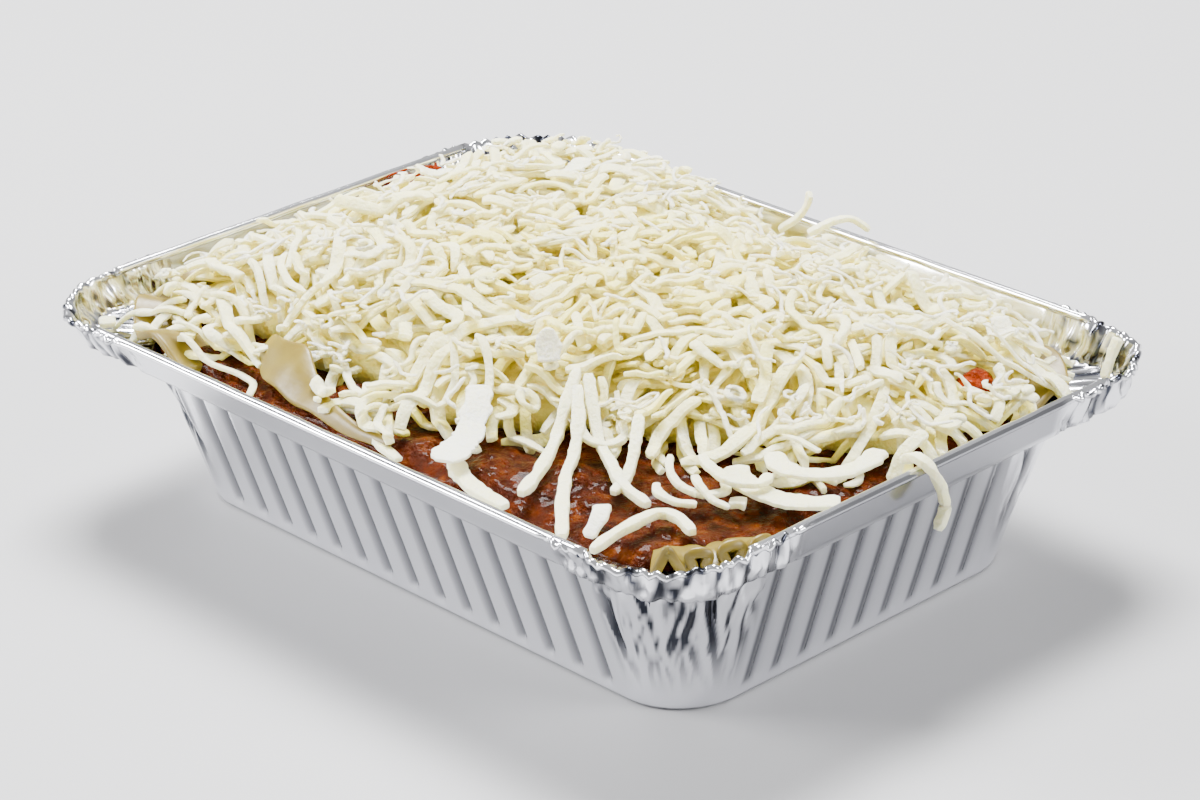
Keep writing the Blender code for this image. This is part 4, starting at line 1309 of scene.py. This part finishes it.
def depth_shade_and_tone_of(tubes):
    """Painted depth shade with the shreds' own tone: near 0 at the heap's surface and 1 below it, where the
    depths are painted deep yellow; some shreds, and the heap's middle, are richer.
    """
    points = np.concatenate([tube.reshape(-1, 3) for tube in tubes])
    above = height_map[map_index(points[:, 0], points[:, 1])] - points[:, 2]
    # painted depth shade: the further below the heap's top, the yellower
    deep = smoothstep(0.4 * MM, DEPTH_SHADE_RUN, above)
    middle = np.exp(-((((points[:, :2] - RICH_MIDDLE) / RICH_HALF) ** 2).sum(axis=1)) ** 1.5)
    own = np.repeat(tone_rng.uniform(0, 1, len(tubes)) ** 1.5, tubes[0].shape[0] * tubes[0].shape[1])
    rich = np.minimum((0.1 + 0.62 * middle) * (0.3 + own), 0.75)
    return np.clip(rich + (1 - rich) * 0.95 * deep, 0, 1)


for kind, tubes in laid_shreds.items():
    look = WISP_LOOK if kind in ("cheese_wisps", "cheese_ribbons") else CHEESE_LOOK
    joined = join_tubes(kind, tubes, look, CRISP if kind in CRISP_KINDS else SOFT)
    # painted depth shade and the shreds' own tone, one value at each point
    set_value(joined, "depth_shade_and_tone", depth_shade_and_tone_of(tubes))
    finish_piece(joined, "cheese", *["shredded_cheese"] * (kind == "cheese_bed"))

# %% [markdown]
# ## The shreds that lie apart
# Some shreds are so distinct that they are separate solids in the frame: those that lie on the
# bare sauce in the front corner, two broad ribbons, one that hangs over the rim, a few crumbs and
# a thin flake that stands up. Each is made again here along its own listed route, with many
# more steps, a section that swells and thins, and ends that are broken rather than cut.

# %% Their routes
LOOSE = {
    # node: route in mm, width, thickness, how ragged
    "hanging_shred": ([(93, -1.5, 45.4), (96.5, -3.8, 48.2), (100, -5, 49.2), (102.6, -4.2, 47.2),
                       (103.3, -2.2, 42.5), (103.5, -1.6, 38.2), (103.3, -3.4, 34.2)], 2.4, 1.8, 0.06),
    "front_shred_long": ([(29, -31, 51.5), (35.5, -37, 48.0), (41, -43.5, 44.6),
                          (46, -50.5, 43.6), (54, -59, 42.4), (62.5, -67, 42.0)], 2.6, 1.8, 0.04),
    "front_shred_left": ([(26, -28, 53.5), (29.5, -34.5, 49.5), (33, -40.5, 45.6),
                          (36.5, -45.5, 45.0), (41, -53.5, 43.8), (43.5, -60.5, 42.6)], 2.6, 1.8, 0.04),
    "front_shred_right": ([(28, -27, 52.5), (34, -31.5, 48.5), (40.5, -36, 44.6),
                           (49, -41, 44.4), (57, -45, 43.2), (65.5, -46.6, 42.6)], 2.4, 1.8, 0.04),
    "front_shred_bent": ([(71.5, -67.5, 42.4), (70.4, -61, 42.8), (69.9, -54, 43.0),
                          (70.4, -48.4, 43.0), (74.6, -47.2, 43.0), (81.5, -50.2, 43.4)], 2.4, 1.8, 0.04),
    "front_curl": ([(60.4, -54.6, 42.3), (63, -56.6, 44.8), (65.6, -60, 44.6), (66.8, -64, 42.4)],
                   3.2, 1.2, 0.06),
    "blunt_shred": ([(24, -60.6, 43.0), (29, -63.2, 42.6), (36, -64.6, 42.0), (44, -65.2, 41.6)],
                    4.0, 1.6, 0.07),
    "ragged_ribbon": ([(13.0, -43.5, 51.0), (16.0, -47.0, 49.4), (19.0, -51.0, 47.4), (22.0, -55.4, 46.4),
                       (24.0, -60.4, 46.2), (26.6, -66.0, 46.2)], 6.4, 0.9, 0.1),
    "broad_ribbon_low": ([(68, -25.2, 44.0), (74, -27.8, 43.6), (81, -28.4, 43.2),
                          (88, -26, 43.2), (93.4, -21, 43.4)], 5.0, 1.2, 0.05),
    "broad_ribbon_high": ([(71.5, -17.2, 45.4), (77, -20.6, 45.6), (83, -20.2, 45.8),
                           (88.2, -15.4, 46.0), (89.2, -9, 46.2), (87.4, -3.4, 46.4)], 4.6, 1.2, 0.05),
    "front_crumb": ([(76.3, -34.6, 42.2), (77.6, -33.6, 42.4), (78.9, -32.6, 42.2)], 3.2, 1.6, 0.08),
    "corner_shred": ([(90.2, 63.8, 40.6), (89.8, 65.6, 43.0), (89.6, 67.2, 45.6),
                      (89.8, 68.6, 48.4)], 2.0, 1.6, 0.05),
    "corner_crumb": ([(-92.4, -61.2, 40.4), (-91, -62.4, 40.8), (-89.4, -63.6, 40.4)], 3.0, 1.6, 0.08),
    "standing_flake": ([(20.5, -30.8, 54.5), (18.6, -29.2, 57.5), (17.4, -28.2, 60.5)], 5.6, 1.1, 0.06),
}
FLAKE_LIFT = (0.73, -0.68, 0.0)    # the flake stands up, so its flat side faces this way
PALE = ("ragged_ribbon", "standing_flake", "front_curl")
LOOSE_ROWS, LOOSE_SIDES = 52, 12
PLACED = [
    # more routes on the heap and at its foot, with no solid of their own
    ([(-7, 66, 47), (-4, 69, 50), (-2.5, 70.4, 53), (-2, 71, 56)], 3.2, 1.3, 0.08),
    ([(6, 62, 51), (8.5, 67, 53), (10, 72, 52.5), (13, 74.6, 50)], 2.2, 1.3, 0.08),
    ([(58, -33, 46), (62, -37, 45.5), (67, -39, 44.5), (72, -37.5, 43.8), (74, -33.5, 43.8),
      (71, -31, 44.4)], 1.9, 1.2, 0.08),
    ([(61, -40, 43.2), (65, -43, 43.6), (70, -43, 43.4), (73, -40.5, 43.0)], 1.7, 1.1, 0.1),
    ([(66, -34, 44.5), (70, -37, 45.5), (75, -38.5, 44.2), (79, -37.5, 43.2)], 1.6, 1.0, 0.1),
    ([(64, -30, 47), (69, -33, 47.5), (75, -33, 46.2), (79, -29, 45.4), (78, -25, 45.6)], 2.4, 1.2, 0.08),
    ([(-17, -49, 43.8), (-13, -53, 43.6), (-9, -57, 42.8), (-5, -59.5, 42.0)], 2.1, 1.3, 0.08),
    ([(-9, -49.5, 44), (-8, -54, 43.4), (-9.5, -58, 42.4)], 1.8, 1.2, 0.1),
    ([(-27, -47, 45), (-21, -50.5, 43.4), (-14, -52.5, 42.8), (-8, -51, 43.4)], 1.8, 1.2, 0.1),
    ([(-2, -49, 45), (-6, -54, 43.2), (-13, -58, 42.4), (-20, -58.6, 42.2)], 2.2, 1.3, 0.08),
    ([(34, -36, 48), (39, -38.5, 46), (43, -36.5, 44.8), (44, -32.5, 45.4), (41, -30, 47)], 2.0, 1.2, 0.08),
    ([(46, -30, 50), (51, -36, 47), (55, -42, 44), (57, -48, 42.8)], 2.3, 1.5, 0.06),
]


# %% Make them
def loose_points(facts, seed, flake=False):
    """A rounded oblong section carried along the route; width and edge waver with smooth noise."""
    knots, width, thick, rough = facts
    share = np.linspace(0, 1, LOOSE_ROWS)
    route = spline_at(knots, share)
    along = unit(np.gradient(route, axis=0))
    lift = np.array(FLAKE_LIFT if flake else (0, 0, 1), float)
    across = unit(np.cross(lift, along))
    over = np.cross(along, across)
    wide, tall = oblong_section(LOOSE_SIDES, 0.35)
    length = np.linalg.norm(np.diff(route, axis=0), axis=1).sum()
    step = share[:, None] * length / MM
    side = np.sign(wide) * (np.abs(wide) > 0.8) * 3 + 20
    edge = (0.05 + rough) * (lattice(step, side + seed, 81) - 0.5) * 2
    swell = 1 + 0.2 * (lattice(step[:, 0] * 0.25, share * 0 + seed, 82, True) - 0.5) * 2
    ends = np.minimum(1, 0.62 + 9 * np.minimum(share, 1 - share))
    if flake:
        ends = ends * np.sqrt(np.clip(1.02 - share**2, 0, 1))
    return carry(route, across, over, (swell * ends * width * MM / 2)[:, None] * wide * (1 + edge),
                 (np.sqrt(ends) * thick * MM / 2)[:, None] * tall * (1 + 0.6 * edge))


def make_loose(name, tubes, look, *nodes):
    """One or more such shreds as one piece, with no painted depth shade."""
    piece = join_tubes(name, tubes, look)
    set_value(piece, "depth_shade_and_tone", np.zeros(len(piece.data.vertices)))
    return finish_piece(piece, "cheese", *nodes)


for loose_seed, (loose_node, loose_facts) in enumerate(LOOSE.items()):
    tube = loose_points(loose_facts, loose_seed, loose_node == "standing_flake")
    make_loose(f"{loose_node}_fine", [tube], WISP_LOOK if loose_node in PALE else CHEESE_LOOK, loose_node)
make_loose("cheese_placed", [loose_points(facts, 30 + n) for n, facts in enumerate(PLACED)], CHEESE_LOOK)
